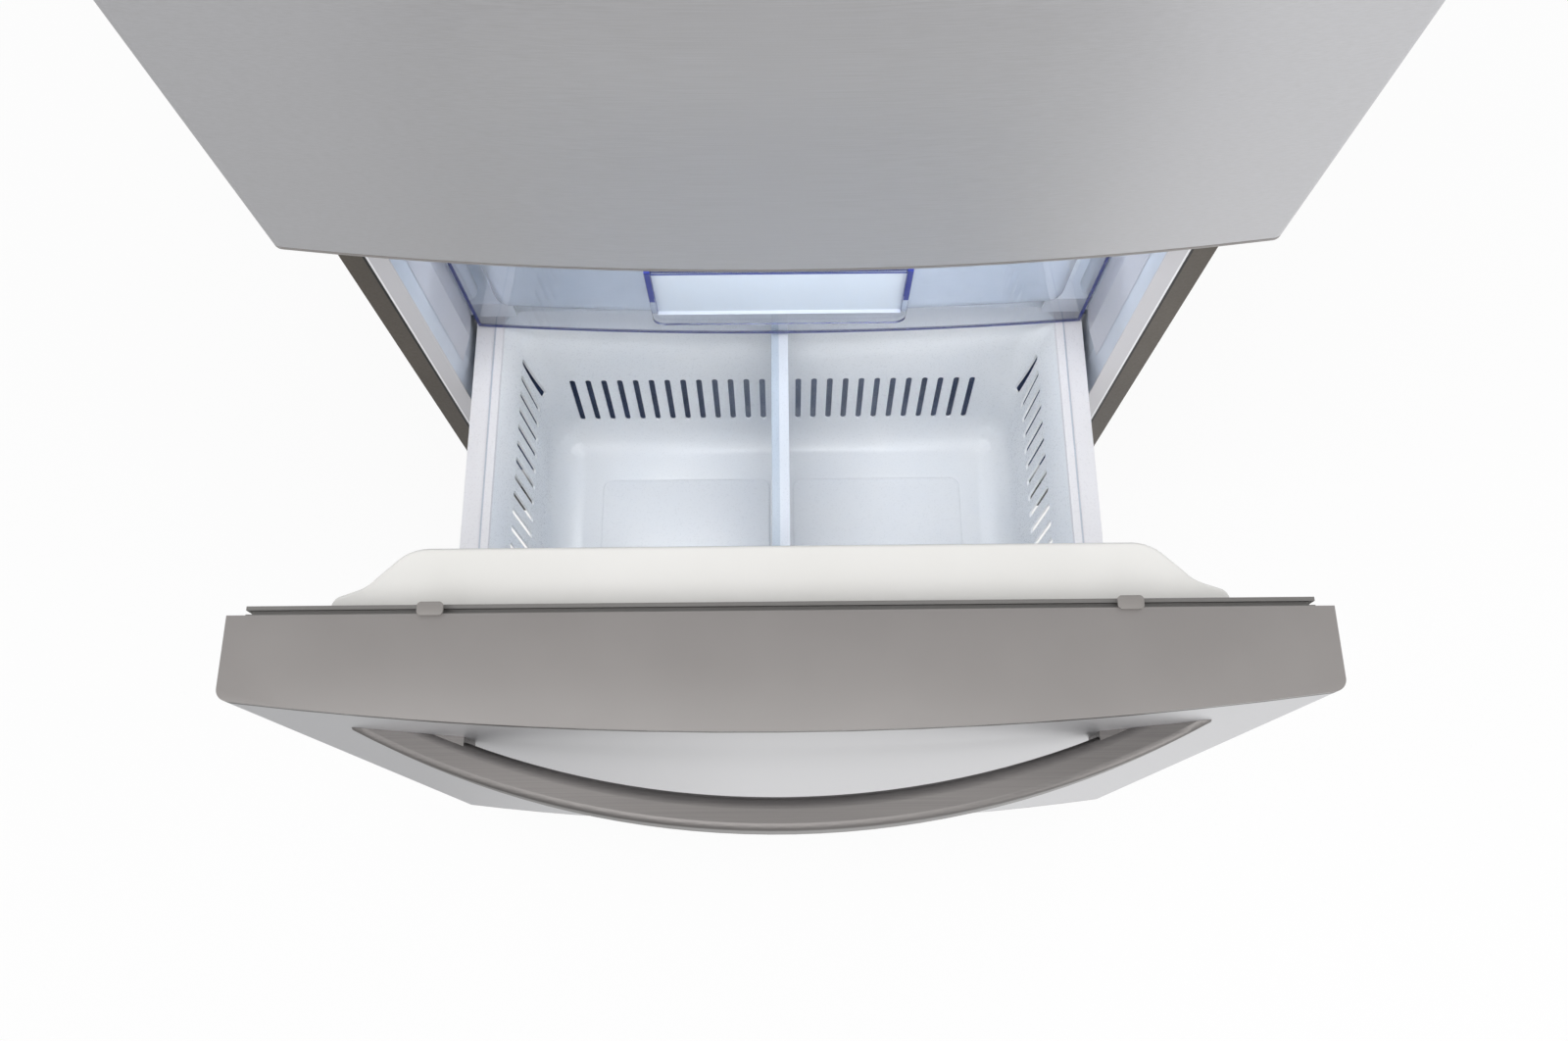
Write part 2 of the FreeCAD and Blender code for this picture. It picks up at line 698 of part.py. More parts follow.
def make_machinery():
    deck = case_bottom
    # Welded compressor can on its mounting plate
    can = turned("compressor_can", [
        (0, 0), (66, 0, -4), (80, 18), (80, 96, -8), (46, 134), (0, 134)])
    place(can, half - 153, case_depth - 118, deck + 16)
    plate = block(
        "compressor_plate", (half - 260, half - 46), (case_depth - 176, case_depth - 60),
        (deck + 12, deck + 17))
    stub = rod("compressor_stub", "X", (half - 248, case_depth - 118, deck + 100), 5, 30)
    feet = []
    for i, x in enumerate((half - 246, half - 60)):
        for j, y in enumerate((162, 74)):
            feet.append(rod("foot_%d_%d" % (i, j), "Z", (x, case_depth - y, deck), 11, 13))
    node("compressor", join("compressor", can, plate, stub, *feet))

    # Finned condenser over the drain pan, with its fan blowing across
    levels = [deck + 50 + 22 * i for i in range(6)]
    node("condenser_coil", serpentine(
        "condenser_coil", (60 - half, as_size(-70)), case_depth - 130, levels, 4, 15,
        (case_depth - 170, case_depth - 90)))
    pan = block("pan_outer", (33 - half, -50), (machine_front + 12, case_depth - 20), (deck, deck + 30))
    room = block(
        "pan_room", (35.5 - half, -52.5), (machine_front + 14.5, case_depth - 22.5),
        (deck + 2.5, deck + 40))
    y = (case_depth - 175, case_depth - 85)
    z = (deck + 2, deck + 40)
    rest = block("pan_rest", (78 - half, 88 - half), y, z)
    rest_b = block("pan_rest_b", (-100, -90), y, z)
    node("drain_pan", join("drain_pan", cut("pan_open", pan, room), rest, rest_b))
    motor = rod("fan_motor_can", "X", (34, case_depth - 118, deck + 96), 26, 36)
    shaft = rod("fan_motor_shaft", "X", (0, case_depth - 118, deck + 96), 3, 40)
    stand = block("fan_motor_stand", (44, 56), (case_depth - 140, case_depth - 96), (deck, deck + 84))
    node("condenser_fan_motor", join("condenser_fan_motor", motor, shaft, stand))
    blades = fan("condenser_blades", 66, 5, 22)
    bore = rod("condenser_bore", "Z", (0, 0, -20), 3 + running_fit, 60)
    wheel = cut("condenser_fan", blades, bore)
    wheel.Placement.Rotation = FreeCAD.Rotation(Vector(0, 1, 0), 90)
    node("condenser_fan", place(wheel, 14, case_depth - 118, deck + 96))

    # Louvred rear cover of the machine space
    cover = block(
        "cover_sheet", (-half, half), (case_depth - sheet_metal, case_depth), (deck, machine_top + 7.5))
    gaps = []
    for i in range(12):
        for j in range(3):
            x = (as_size(i) - 5.5) * 54
            z = deck + 34 + 48 * j
            gaps.append(block(
                "cover_gap_%d_%d" % (i, j), (x - 20, x + 20), (case_depth - 20, case_depth + 5),
                (z, z + 9)))
    node("rear_cover", cut("rear_cover", cover, *gaps))

    # Evaporator behind its cover at the back of the freezer
    levels = [hump_top + 52 + 26 * i for i in range(9)]
    node("evaporator_coil", serpentine(
        "evaporator_coil", (as_size(-235), as_size(235)), cavity_back - 24, levels, 4, 19,
        (cavity_back - 44, cavity_back)))
    sheet_y = cavity_back - 52
    hub_z = freezer_ceiling - 80
    cover = block(
        "evap_sheet", (2 - inside, inside - 2), (sheet_y - 3, sheet_y), (hump_top, freezer_ceiling))
    edge = block(
        "evap_edge", (inside - 12, inside - 2), (sheet_y - 1, cavity_back - 16),
        (hump_top + 4, freezer_ceiling - 4))
    gaps = [rod("evap_fan_hole", "Y", (0, sheet_y - 20, hub_z), 57, 40)]
    for i in range(16):
        x = (as_size(i) - 7.5) * 34
        gaps.append(block(
            "evap_gap_%d" % i, (x - 12, x + 12), (sheet_y - 20, sheet_y + 0.5),
            (hump_top + 16, hump_top + 28)))
    solid = join("evap_solid", cover, edge, mirrored("evap_edge_left", edge))
    motor = rod("evap_motor_can", "Y", (0, cavity_back - 30, hub_z), 24, 22)
    shaft = rod("evap_motor_shaft", "Y", (0, cavity_back - 60, hub_z), 3, 40)
    spider = block("evap_spider", (-70, 70), (cavity_back - 16, cavity_back - 10), (hub_z - 5, hub_z + 5))
    strut = block("evap_strut", (63, 70), (sheet_y - 1, cavity_back - 10), (hub_z - 5, hub_z + 5))
    open_sheet = cut("evap_open", solid, *gaps)
    node("evaporator_cover", join(
        "evaporator_cover", open_sheet, motor, shaft, spider, strut, mirrored("evap_strut_left", strut)))
    blades = fan("evap_blades", 52, 5, 16)
    bore = rod("evap_bore", "Z", (0, 0, -20), 3 + running_fit, 60)
    wheel = cut("evaporator_fan", blades, bore)
    wheel.Placement.Rotation = FreeCAD.Rotation(Vector(1, 0, 0), -90)
    node("evaporator_fan", place(wheel, 0, cavity_back - 48, hub_z))


def make_fridge_fittings():
    top = fridge_ceiling
    # Cold air tower on the back wall
    tower = prism("tower_outer", "XY_Plane", fridge_floor + 200, top - 30, [
        (-110, cavity_back), (-100, cavity_back - 18), (100, cavity_back - 18), (110, cavity_back)])
    room = block(
        "tower_room", (-96, 96), (cavity_back - 15, cavity_back + 1), (fridge_floor + 190, top - 34))
    gaps = []
    for i in range(4):
        for side in (-1, 1):
            x = as_size(60 * side)
            z = fridge_floor + 260 + 150 * i
            gaps.append(block(
                "tower_gap_%d_%d" % (i, side + 1), (x - 22, x + 22), (cavity_back - 30, cavity_back - 14),
                (z, z + 10)))
    node("air_tower", cut("air_tower", tower, room, *gaps))

    lamp = prism("fridge_lamp", "XY_Plane", top - 9, top, rounded(sized(-95, 95), sized(190, 260), 10))
    cold = prism("freezer_lamp", "XY_Plane", freezer_ceiling - 7, freezer_ceiling,
                 rounded(sized(-60, 60), sized(300, 340), 8))
    node("lamp_lenses", group("lamp_lenses", lamp, cold))
    node("control_panel", prism(
        "control_panel", "XY_Plane", top - 12, top, rounded(sized(-130, 130), sized(70, 150), 12)))

    # Glass shelves with moulded front and rear edges, resting on the liner's ribs
    panes = []
    edges = []
    for i, level in enumerate((shelf_one, shelf_two, shelf_three, crisper_shelf)):
        pane = block(
            "pane_%d" % i, (9 - inside, inside - 9), (shelf_front + 3, shelf_back - 3),
            (level, level + 4))
        panes.append(pane)
        for end, name in ((shelf_front, "front"), (shelf_back - 16, "rear")):
            bar = block(
                "edge_%s_%d" % (name, i), (4 - inside, inside - 4), (end, end + 16),
                (level - 6, level + 9))
            edges.append(cut("edge_cut_%s_%d" % (name, i), bar, pane))
    node("shelf_panes", group("shelf_panes", *panes))
    node("shelf_edges", group("shelf_edges", *edges))

    # Two crisper drawers that slide on the floor
    for side, name in ((1, "crisper_right"), (-1, "crisper_left")):
        near = as_size(5)
        far = inside - crisper_inset
        x = (near, far) if side > 0 else (-far, -near)
        low = fridge_floor + 0.3
        body = new_body(name + "_tray")
        drawing = outline(body, name + "_base", "XY_Plane", low,
                          rounded(x, (crisper_front, crisper_back), 18))
        pad(body, name + "_pad", drawing, crisper_height)
        solid = body
        room = prism(name + "_room", "XY_Plane", low + 3, low + crisper_height + 5, rounded(
            (x[0] + 3, x[1] - 3), (crisper_front + 3, crisper_back - 3), 15))
        brim = low + crisper_height
        grip = prism(name + "_grip", "YZ_Plane", x[0] + 40, x[1] - 40, [
            (crisper_front - 14, brim), (crisper_front - 14, brim - 10), (crisper_front - 11, brim - 10),
            (crisper_front - 11, brim - 4), (crisper_front + 2, brim - 4), (crisper_front + 2, brim)])
        node(name, join(name, cut(name + "_open", solid, room), grip))


# Bowed fronts of the door and the drawer

def front_block(name, low, high, inset, rear):
    side = half - inset
    edge = panel_edge - inset
    body = prism(name, "XY_Plane", low, high, [
        (-side, -rear), (-side, -edge, panel_bow * -1), (side, -edge), (side, -rear)])
    round_edges(body, name + "_corner", corner_round - inset,
                lambda a, b: upright(a, b) and abs(a.y + edge.value) < 1e-6)
    return body


def front_pieces(name, low, high, move, upper=None, lower=None):
    """Steel skin, foam core and two end caps of one front, with hinge bushes in the caps."""
    edge = cap_lip + seam
    skin = front_block(name + "_skin_solid", low + edge, high - edge, as_size(0), panel_rear)
    room = front_block(name + "_skin_room", low - 5, high + 5, sheet_metal, panel_rear - 5)
    node(name + "_skin", place(cut(name + "_skin", skin, room), 0, move, 0))
    core = front_block(
        name + "_core_solid", low + cap_height, high - cap_height, sheet_metal, panel_rear + 2)
    plug = front_block(name + "_top_plug", high - cap_height, high - 1, sheet_metal, panel_rear)
    lip = front_block(name + "_top_lip", high - cap_lip, high, as_size(0), panel_rear)
    top = join(name + "_top_cap_solid", plug, lip)
    plug = front_block(name + "_bottom_plug", low + 1, low + cap_height, sheet_metal, panel_rear)
    lip = front_block(name + "_bottom_lip", low, low + cap_lip, as_size(0), panel_rear)
    bottom = join(name + "_bottom_cap_solid", plug, lip)
    if upper:
        core = cut(name + "_core_bored", core, upper[0], lower[0])
        top = cut(name + "_top_cap_bored", join(name + "_top_bushed", top, upper[0]), upper[1])
        bottom = join(name + "_bottom_bushed", bottom, lower[0])
        bottom = cut(name + "_bottom_cap_bored", bottom, lower[1])
    node(name + "_core", place(core, 0, move, 0))
    node(name + "_top_cap", place(top, 0, move, 0))
    node(name + "_bottom_cap", place(bottom, 0, move, 0))


def gasket(name, x, z, move):
    """A magnetic seal: a base strip, a narrow bellows and a bulb, all round."""
    first = -panel_rear
    step = (panel_rear - gasket_gap) / 3
    base = ring(name + "_base", x, z, gasket_width, (first, first + step))
    neck = ring(
        name + "_neck", (x[0] + 3, x[1] - 3), (z[0] + 3, z[1] - 3), gasket_width - 6,
        (first + step - 0.5, first + step * 2 + 0.5))
    bulb = ring(name + "_bulb", x, z, gasket_width, (first + step * 2, -gasket_gap))
    node(name, place(join(name, base, neck, bulb), 0, move, 0))


def bow_handle(name, grip, tip):
    """A bowed bar with blunt tips and two feet, about an upright axis at its own origin."""
    low = handle_height / -2
    high = handle_height / 2
    front = -handle_radius
    back = handle_thick - handle_radius
    crisp = handle_edge
    soft = handle_round
    bar = turned(name + "_bow", [
        (front + crisp, low), (back - soft, low, soft * -0.2929), (back, low + soft),
        (back, high - soft, soft * -0.2929), (back - soft, high), (front + crisp, high, crisp * -0.2929),
        (front, high - crisp), (front, low + crisp, crisp * -0.2929)], 60, "YZ_Plane")
    inner = handle_radius - handle_thick
    near = grip * grip / (inner * 2) - inner - 5
    far = grip + foot_length
    drop = (far * far - grip * grip) / (inner * 2)
    foot = prism(name + "_foot", "XY_Plane", foot_height / -2, foot_height / 2, [
        (grip, near), (far, near + drop), (far, near + drop + foot_depth), (grip, near + foot_depth)])
    end = block(name + "_end", (tip, handle_radius), (-handle_radius * 2, 0), (low - 5, high + 5))
    blunt = cut(name + "_blunt", bar, end, mirrored(name + "_end_far", end))
    return join(name, blunt, foot, mirrored(name + "_foot_far", foot))


def make_door():
    low = door_bottom
    high = door_top
    spot = (hinge_x, -hinge_reach)
    wide = pin_radius + 3.5
    close = pin_radius + running_fit
    tube_top = rod("bush_top", "Z", spot + (high - 28,), wide, 28)
    tube_low = rod("bush_low", "Z", spot + (low - 2.7,), wide, 30.7)
    hole_top = rod("bush_top_hole", "Z", spot + (high - 26,), close, 40)
    hole_low = rod("bush_low_hole", "Z", spot + (low - 10,), close, 36)
    front_pieces("door", low, high, 0, (tube_top, hole_top), (tube_low, hole_low))

    # Inner liner with a raised dike round its edge
    plate = block(
        "door_plate", (sheet_metal - half, half - sheet_metal), (-panel_rear - 2, -panel_rear),
        (low + cap_height, high - cap_height))
    x = inside - 15
    z = (fridge_floor + 14, fridge_ceiling - 14)
    dike = prism("door_dike", "XZ_Plane", -panel_rear - 1, 55, rounded((-x, x), z, 24))
    round_edges(dike, "door_dike_edge", 7, lambda a, b: abs(a.y - 55) < 1e-6 and abs(b.y - 55) < 1e-6)
    room = prism("door_recess", "XZ_Plane", -panel_rear + 4, 60, rounded(
        (dike_wall - x, x - dike_wall), (z[0] + dike_wall, z[1] - dike_wall), 14))
    node("door_liner", cut("door_liner", join("door_liner_solid", plate, dike), room))
    gasket("door_gasket", (2 - hinge_x, hinge_x - 2), (low + 9, fridge_ceiling + 33), 0)

    # Open bins between the dike walls, and a lidded dairy bin on top
    side = x - dike_wall - 0.2
    back = -panel_rear + 4.2
    bins = []
    for i, level in enumerate((bin_low, bin_mid, bin_high)):
        outer = prism("bin_%d" % i, "XY_Plane", level, level + 96, rounded(
            (-side, side), (back, bin_depth), 16))
        room = prism("bin_room_%d" % i, "XY_Plane", level + 3, level + 100, rounded(
            (3 - side, side - 3), (back + 3, bin_depth - 3), 13))
        bins.append(cut("bin_open_%d" % i, outer, room))
    node("door_bins", group("door_bins", *bins))
    outer = prism("dairy_outer", "XY_Plane", dairy_level, dairy_level + 78, rounded(
        (-side, side), (back, as_size(52)), 8))
    room = prism("dairy_room", "XY_Plane", dairy_level + 3, dairy_level + 90, rounded(
        (3 - side, side - 3), (back + 3, as_size(49)), 6))
    axis_z = dairy_level + 90
    ear = block("dairy_ear", (side - 3, side), (as_size(30), as_size(56)), (dairy_level + 40, axis_z + 4))
    pin = rod("dairy_pin", "X", (side - 12, 52, axis_z), 2, 11)
    node("dairy_bin", join(
        "dairy_bin", cut("dairy_open", outer, room), ear, pin, mirrored("dairy_ear_left", ear),
        mirrored("dairy_pin_left", pin)))
    lid = block("lid_plate", (5 - side, side - 5), (54, 57), (dairy_level + 10, axis_z + 2))
    knuckle = rod("lid_knuckle", "X", (5 - side, 52, axis_z), 5, side * 2 - 10)
    lid_solid = join("lid_solid", lid, knuckle)
    hole = rod("lid_hole", "X", (4 - side, 52, axis_z), 2 + running_fit, side * 2)
    node("dairy_lid", cut("dairy_lid", lid_solid, hole))

    # Upright bowed handle near the opening edge
    centre_x = as_size(46) - half
    face = front_block("door_face", low - 50, high + 50, as_size(0), panel_rear)
    bar = bow_handle("door_handle_bar", door_grip_half, door_tip_half)
    bar.Placement.Rotation = FreeCAD.Rotation(Vector(0, 1, 0), 90)
    reach = panel_edge + panel_bow * (1 - (centre_x * centre_x) / (half * half))
    place(bar, centre_x, handle_radius - handle_reach - reach, door_handle_level)
    node("door_handle", cut("door_handle", bar, face))


def make_drawer():
    low = drawer_bottom
    high = drawer_top
    move = -drawer_pull
    front_pieces("drawer", low, high, move, None)
    plate = block(
        "drawer_plate", (sheet_metal - half, half - sheet_metal), (-panel_rear - 2, -panel_rear),
        (low + cap_height, high - cap_height))
    back = dike_back
    edge = dike_half
    rise = back - 10
    foot = 10 + rise * 0.1
    ankle = 10 + rise * 0.2
    waist = 10 + rise * 0.42
    neck = 10 + rise * 0.79
    points = [
        (edge + 2, -panel_rear - 1), (edge, 6, -1.6), (edge - 7, foot), (edge - 18, ankle, 1),
        (edge - 30, waist), (edge - 45, neck, -2), (edge - 66, back), (66 - edge, back, -2),
        (45 - edge, neck), (30 - edge, waist, 1), (18 - edge, ankle), (7 - edge, foot, -1.6),
        (-edge, 6), (-edge - 2, -panel_rear - 1)]
    dike = prism("drawer_dike", "XY_Plane", dike_bottom, dike_top, points)
    round_edges(dike, "drawer_dike_edge", 3,
                lambda a, b: a.z > dike_top.value - 0.1 and b.z > dike_top.value - 0.1
                and min(a.y, b.y) > -5)
    boss = block(
        "rail_boss", (inside - 43, inside - 19), (-panel_rear - 1, slide_front - 12.5),
        (slide_low, rim_level - 4))
    solid = join("drawer_liner", plate, dike, boss, mirrored("rail_boss_left", boss))
    node("drawer_liner", place(solid, 0, move, 0))
    gasket("drawer_gasket", (9 - half, half - 9), (low + 9, high - 9), move)

    # Two small clips over the seal at the rear edge of the top cap
    clip = prism("clip_tab", "XY_Plane", high, high + 2, rounded(
        (half - 148, half - 130), sized(-10.5, -1), 3))
    leg = block("clip_leg", (half - 146, half - 132), (-panel_rear, -panel_rear + 2), (high - 9, high + 1))
    node("gasket_clips", place(pair("gasket_clips", join("clip", clip, leg)), 0, move, 0))

    face = front_block("drawer_face", low - 50, high + 50, as_size(0), panel_rear)
    bar = bow_handle("drawer_handle_bar", grip_half, half - tip_inset)
    place(bar, 0, handle_radius - handle_reach - panel_edge - panel_bow, handle_level)
    node("drawer_handle", place(cut("drawer_handle", bar, face), 0, move, 0))


def wall_side(level):
    return basket_wall_half + (level - basket_floor) * side_draft


def wall_back(level):
    return basket_back + (level - basket_floor) * back_draft


def wall_front(level):
    return basket_front + (rim_level - level) * front_draft


def basket_rings(grow, top):
    """The plans of the basket wall from the floor to the rim, as levels and rounded outlines."""
    bend = basket_round + grow
    flare = rim_inner - wall_side(rim_level)
    rise = rim_level - flare_level
    steps = []
    for lift, inset, share in ((0, 1, 0.2), (0.134, 0.5, 0.5), (0.5, 0.134, 0.85), (1, 0, 1)):
        steps.append((basket_floor - grow + bend * lift, bend * -inset, share))
    for lift, spread in ((0, 0), (0.5, 0.2), (0.85, 0.6), (1, 1)):
        steps.append((flare_level + rise * lift, flare * spread, 0.75))
    level, spread, share = steps.pop()
    steps.append((as_size(top), spread, share))
    rings = []
    for level, spread, share in steps:
        side = wall_side(level) + spread + grow
        back = wall_back(level) + spread + grow
        front = wall_front(level) - grow
        if spread.value < 0:
            front = front - spread
        rings.append((level, rounded((-side, side), (front, back), 30 * share + grow)))
    return rings


def basket_loft(body, name, kind, grow, top):
    drawings = []
    for i, (level, corners) in enumerate(basket_rings(grow, top)):
        drawings.append(outline(body, "%s_ring_%d" % (name, i), "XY_Plane", level, corners))
    item = body.newObject(kind, name)
    item.Profile = drawings[0]
    item.Sections = drawings[1:]
    item.Ruled = True
    return item


def make_basket():
    skin = basket_skin
    move = -drawer_pull
    brim = wall_back(rim_level) + rim_inner - wall_side(rim_level)
    body = new_body("basket")
    basket_loft(body, "basket_outer", "PartDesign::AdditiveLoft", skin, rim_level)
    drawing = outline(body, "basket_rim_plan", "XY_Plane", rim_level - 3, rounded(
        (-rim_half, rim_half), (dike_back + 1.5, brim + bead_width + 2), 10))
    pad(body, "basket_rim", drawing, 3)
    drawing = outline(body, "basket_bead_plan", "XY_Plane", rim_level - 1, rounded(
        (-rim_inner - bead_width, rim_inner + bead_width), (basket_front - 2, brim + 6), 24))
    pad(body, "basket_bead", drawing, 3)
    basket_loft(body, "basket_inner", "PartDesign::SubtractiveLoft", as_size(0), rim_level + 6)

    # Upright air slots in the back and side walls
    wide = slot_width / 2
    for name, first_x, count in (
            ("right", slot_inset, 12), ("left", -slot_inset - slot_pitch * 12, 13)):
        drawing = outline(body, "basket_slot_" + name, "XZ_Plane", basket_back - 60, [
            (first_x - wide, back_slot_low, wide * -0.8), (first_x + wide, back_slot_low),
            (first_x + wide, back_slot_high, wide * -0.8), (first_x - wide, back_slot_high)])
        repeat_pocket(
            body, "basket_back_" + name, drawing, 100, False, slot_pitch * (count - 1), count)
    start = side_slot_rear - side_slot_pitch * 12
    drawing = outline(body, "basket_slot_side", "YZ_Plane", 0, [
        (start - wide, side_slot_low, wide * -0.8), (start + wide, side_slot_low),
        (start + wide, side_slot_high, wide * -0.8), (start - wide, side_slot_high)])
    repeat_pocket(body, "basket_side", drawing, half * 2, True, side_slot_pitch * 12, 13)
    node("basket", place(body, 0, move, 0))

    # Slide-in divider across the middle
    floor = basket_floor + 0.3
    bend = basket_floor + basket_round
    top = rim_level - 1
    first = wall_front(basket_floor) + basket_round + 0.8
    last = wall_back(basket_floor) - basket_round - 0.8
    plate = prism("divider_plate", "YZ_Plane", -1.5, 1.5, [
        (first, floor), (last, floor), (wall_back(bend) - 0.8, bend), (wall_back(top) - 0.8, top),
        (wall_front(top) + 0.8, top), (wall_front(bend) + 0.8, bend)])
    rail = block(
        "divider_rail", (divider_width / -2, divider_width / 2),
        (wall_front(top) + 3, wall_back(top) - 3), (top - 8, top))
    foot = block("divider_foot", (-5, 5), (first + 2, last - 2), (floor, floor + 4))
    post = block(
        "divider_post", (-5, 5), (wall_front(bend) + 0.8, wall_front(bend) + 5), (bend, top - 4))
    node("basket_divider", place(join("basket_divider", plate, rail, foot, post), 0, move, 0))


def repeat_pocket(body, name, drawing, depth, both, length, count):
    doc.recompute()
    pocket = body.newObject("PartDesign::Pocket", name)
    pocket.Profile = drawing
    depth = as_size(depth)
    pocket.Length = depth.value
    bind(pocket, "Length", depth)
    pocket.Midplane = both
    doc.recompute()
    pattern = body.newObject("PartDesign::LinearPattern", name + "_row")
    pattern.Originals = [pocket]
    pattern.Direction = (drawing, ["H_Axis"])
    pattern.Length = length.value
    bind(pattern, "Length", length)
    pattern.Occurrences = count
    body.Tip = pattern
    doc.recompute()


def rack_teeth(start, count, module, level):
    """The saw edge of a rack along Y, its pitch line at the given height."""
    pitch = math.pi * module
    lean = math.tan(math.radians(20))
    points = []
    for i in range(count):
        middle = start + pitch * (i + 0.5)
        wide = pitch * 0.21
        up = module * 0.8
        points.append((middle - wide - lean * module, level - module))
        points.append((middle - wide + lean * up, level + up))
        points.append((middle + wide - lean * up, level + up))
        points.append((middle + wide + lean * module, level - module))
    return points


def gear_points(radius, count):
    """A pinion with one tooth pointing straight down, drawn in its own plane."""
    module = 2 * radius / count
    half_tooth = 0.42 * math.pi / count
    flat = math.radians(20)
    base = radius * math.cos(flat)
    spread = math.tan(flat) - flat
    points = []
    for i in range(count):
        middle = -math.pi / 2 + 2 * math.pi * i / count
        marks = []
        for reach in (radius - 1.15 * module, radius - 0.4 * module, radius, radius + 0.75 * module):
            lean = math.acos(min(1.0, base / reach))
            swing = half_tooth + spread - (math.tan(lean) - lean)
            marks.append((reach, max(swing, 0.02)))
        for reach, swing in marks:
            points.append((reach * math.cos(middle - swing), reach * math.sin(middle - swing)))
        for reach, swing in reversed(marks):
            points.append((reach * math.cos(middle + swing), reach * math.sin(middle + swing)))
    return points


def flat_solid(name, points, x0, x1):
    """A Part::Feature: a polygon in a plane across X, pulled along X."""
    wire = Part.makePolygon([Vector(x0, p[0], p[1]) for p in points + points[:1]])
    item = doc.addObject("Part::Feature", name)
    item.Shape = Part.Face(wire).extrude(Vector(x1 - x0, 0, 0))
    return item


def make_slides():
    move = -drawer_pull
    low = slide_low
    first = slide_front
    last = slide_front + slide_length
    edge = inside
    top = rim_level - 3

    # Outer members screwed to the liner, middle members, and the drawer rails
    web = block("outer_web", (edge - 8.5, edge - 6.5), (first, last), (low + 2, low + 40))
    roof = block("outer_roof", (edge - 19, edge - 6.5), (first, last), (low + 38, low + 40))
    sill = block("outer_sill", (edge - 19, edge - 6.5), (first, last), (low + 2, low + 4))
    seat = block("outer_seat", (edge - 7, edge), (first + 20, first + 60), (low + 6, low + 36))
    seat_b = block("outer_seat_b", (edge - 7, edge), (last - 60, last - 20), (low + 6, low + 36))
    node("slide_outer_members", pair("slide_outer_members", join(
        "slide_outer", web, roof, sill, seat, seat_b)))
    web = block("middle_web", (edge - 11, edge - 9), (first, last), (low + 4.3, low + 37.7))
    roof = block("middle_roof", (edge - 25, edge - 9), (first, last), (low + 35.7, low + 37.7))
    sill = block("middle_sill", (edge - 25, edge - 9), (first, last), (low + 4.3, low + 6.3))
    channel = pair("slide_middle_members", join("slide_middle", web, roof, sill))
    node("slide_middle_members", place(channel, 0, move / 2, 0))

    level = rack_level + pinion_radius
    tongue = block(
        "rail_tongue", (edge - 29, edge - 11.5), (first - 12.5, last), (low + 6.6, low + 35.4))
    bar = block("rail_bar", (edge - 31.5, edge - 28), (first - 12.5, shaft_place + 16), (low + 4, top))
    cheek = block(
        "rail_cheek", (edge - 33, edge - 28), (shaft_place - 14, shaft_place + 16),
        (level - 13, low + 10))
    hole = rod("rail_hole", "X", (edge - 60, shaft_place, level), 6 + running_fit, 60)
    rail = cut("rail_bored", join("rail_solid", tongue, bar, cheek), hole)
    node("drawer_rails", place(pair("drawer_rails", rail), 0, move, 0))

    # Racks along the liner walls and the shaft whose pinions keep the drawer square
    radius = pinion_radius.value
    count = 16
    module = 2 * radius / count
    pitch = math.pi * module
    low_z = rack_level.value
    rest = shaft_place.value - drawer_pull.value
    begin = rest - pitch * math.floor((rest - first.value + 4) / pitch)
    teeth = rack_teeth(begin, 64, module, low_z)
    end = begin + pitch * 64
    points = [(begin - 2, low_z - 12), (begin - 2, low_z - module)] + teeth
    points = points + [(end + 2, low_z - module), (end + 2, low_z - 12)]
    rack = flat_solid("rack_solid", points, inside.value - 18, inside.value)
    node("gear_racks", pair("gear_racks", rack))
    pinion = flat_solid("pinion_solid", gear_points(radius, count), inside.value - 17, inside.value - 2)
    other = mirrored("pinion_left", pinion)
    shaft = rod("gear_rod", "X", (2 - inside, 0, 0), 6, inside * 2 - 4)
    geared = join("gear_shaft", shaft, pinion, other)
    node("gear_shaft", place(geared, 0, shaft_place - drawer_pull, level))


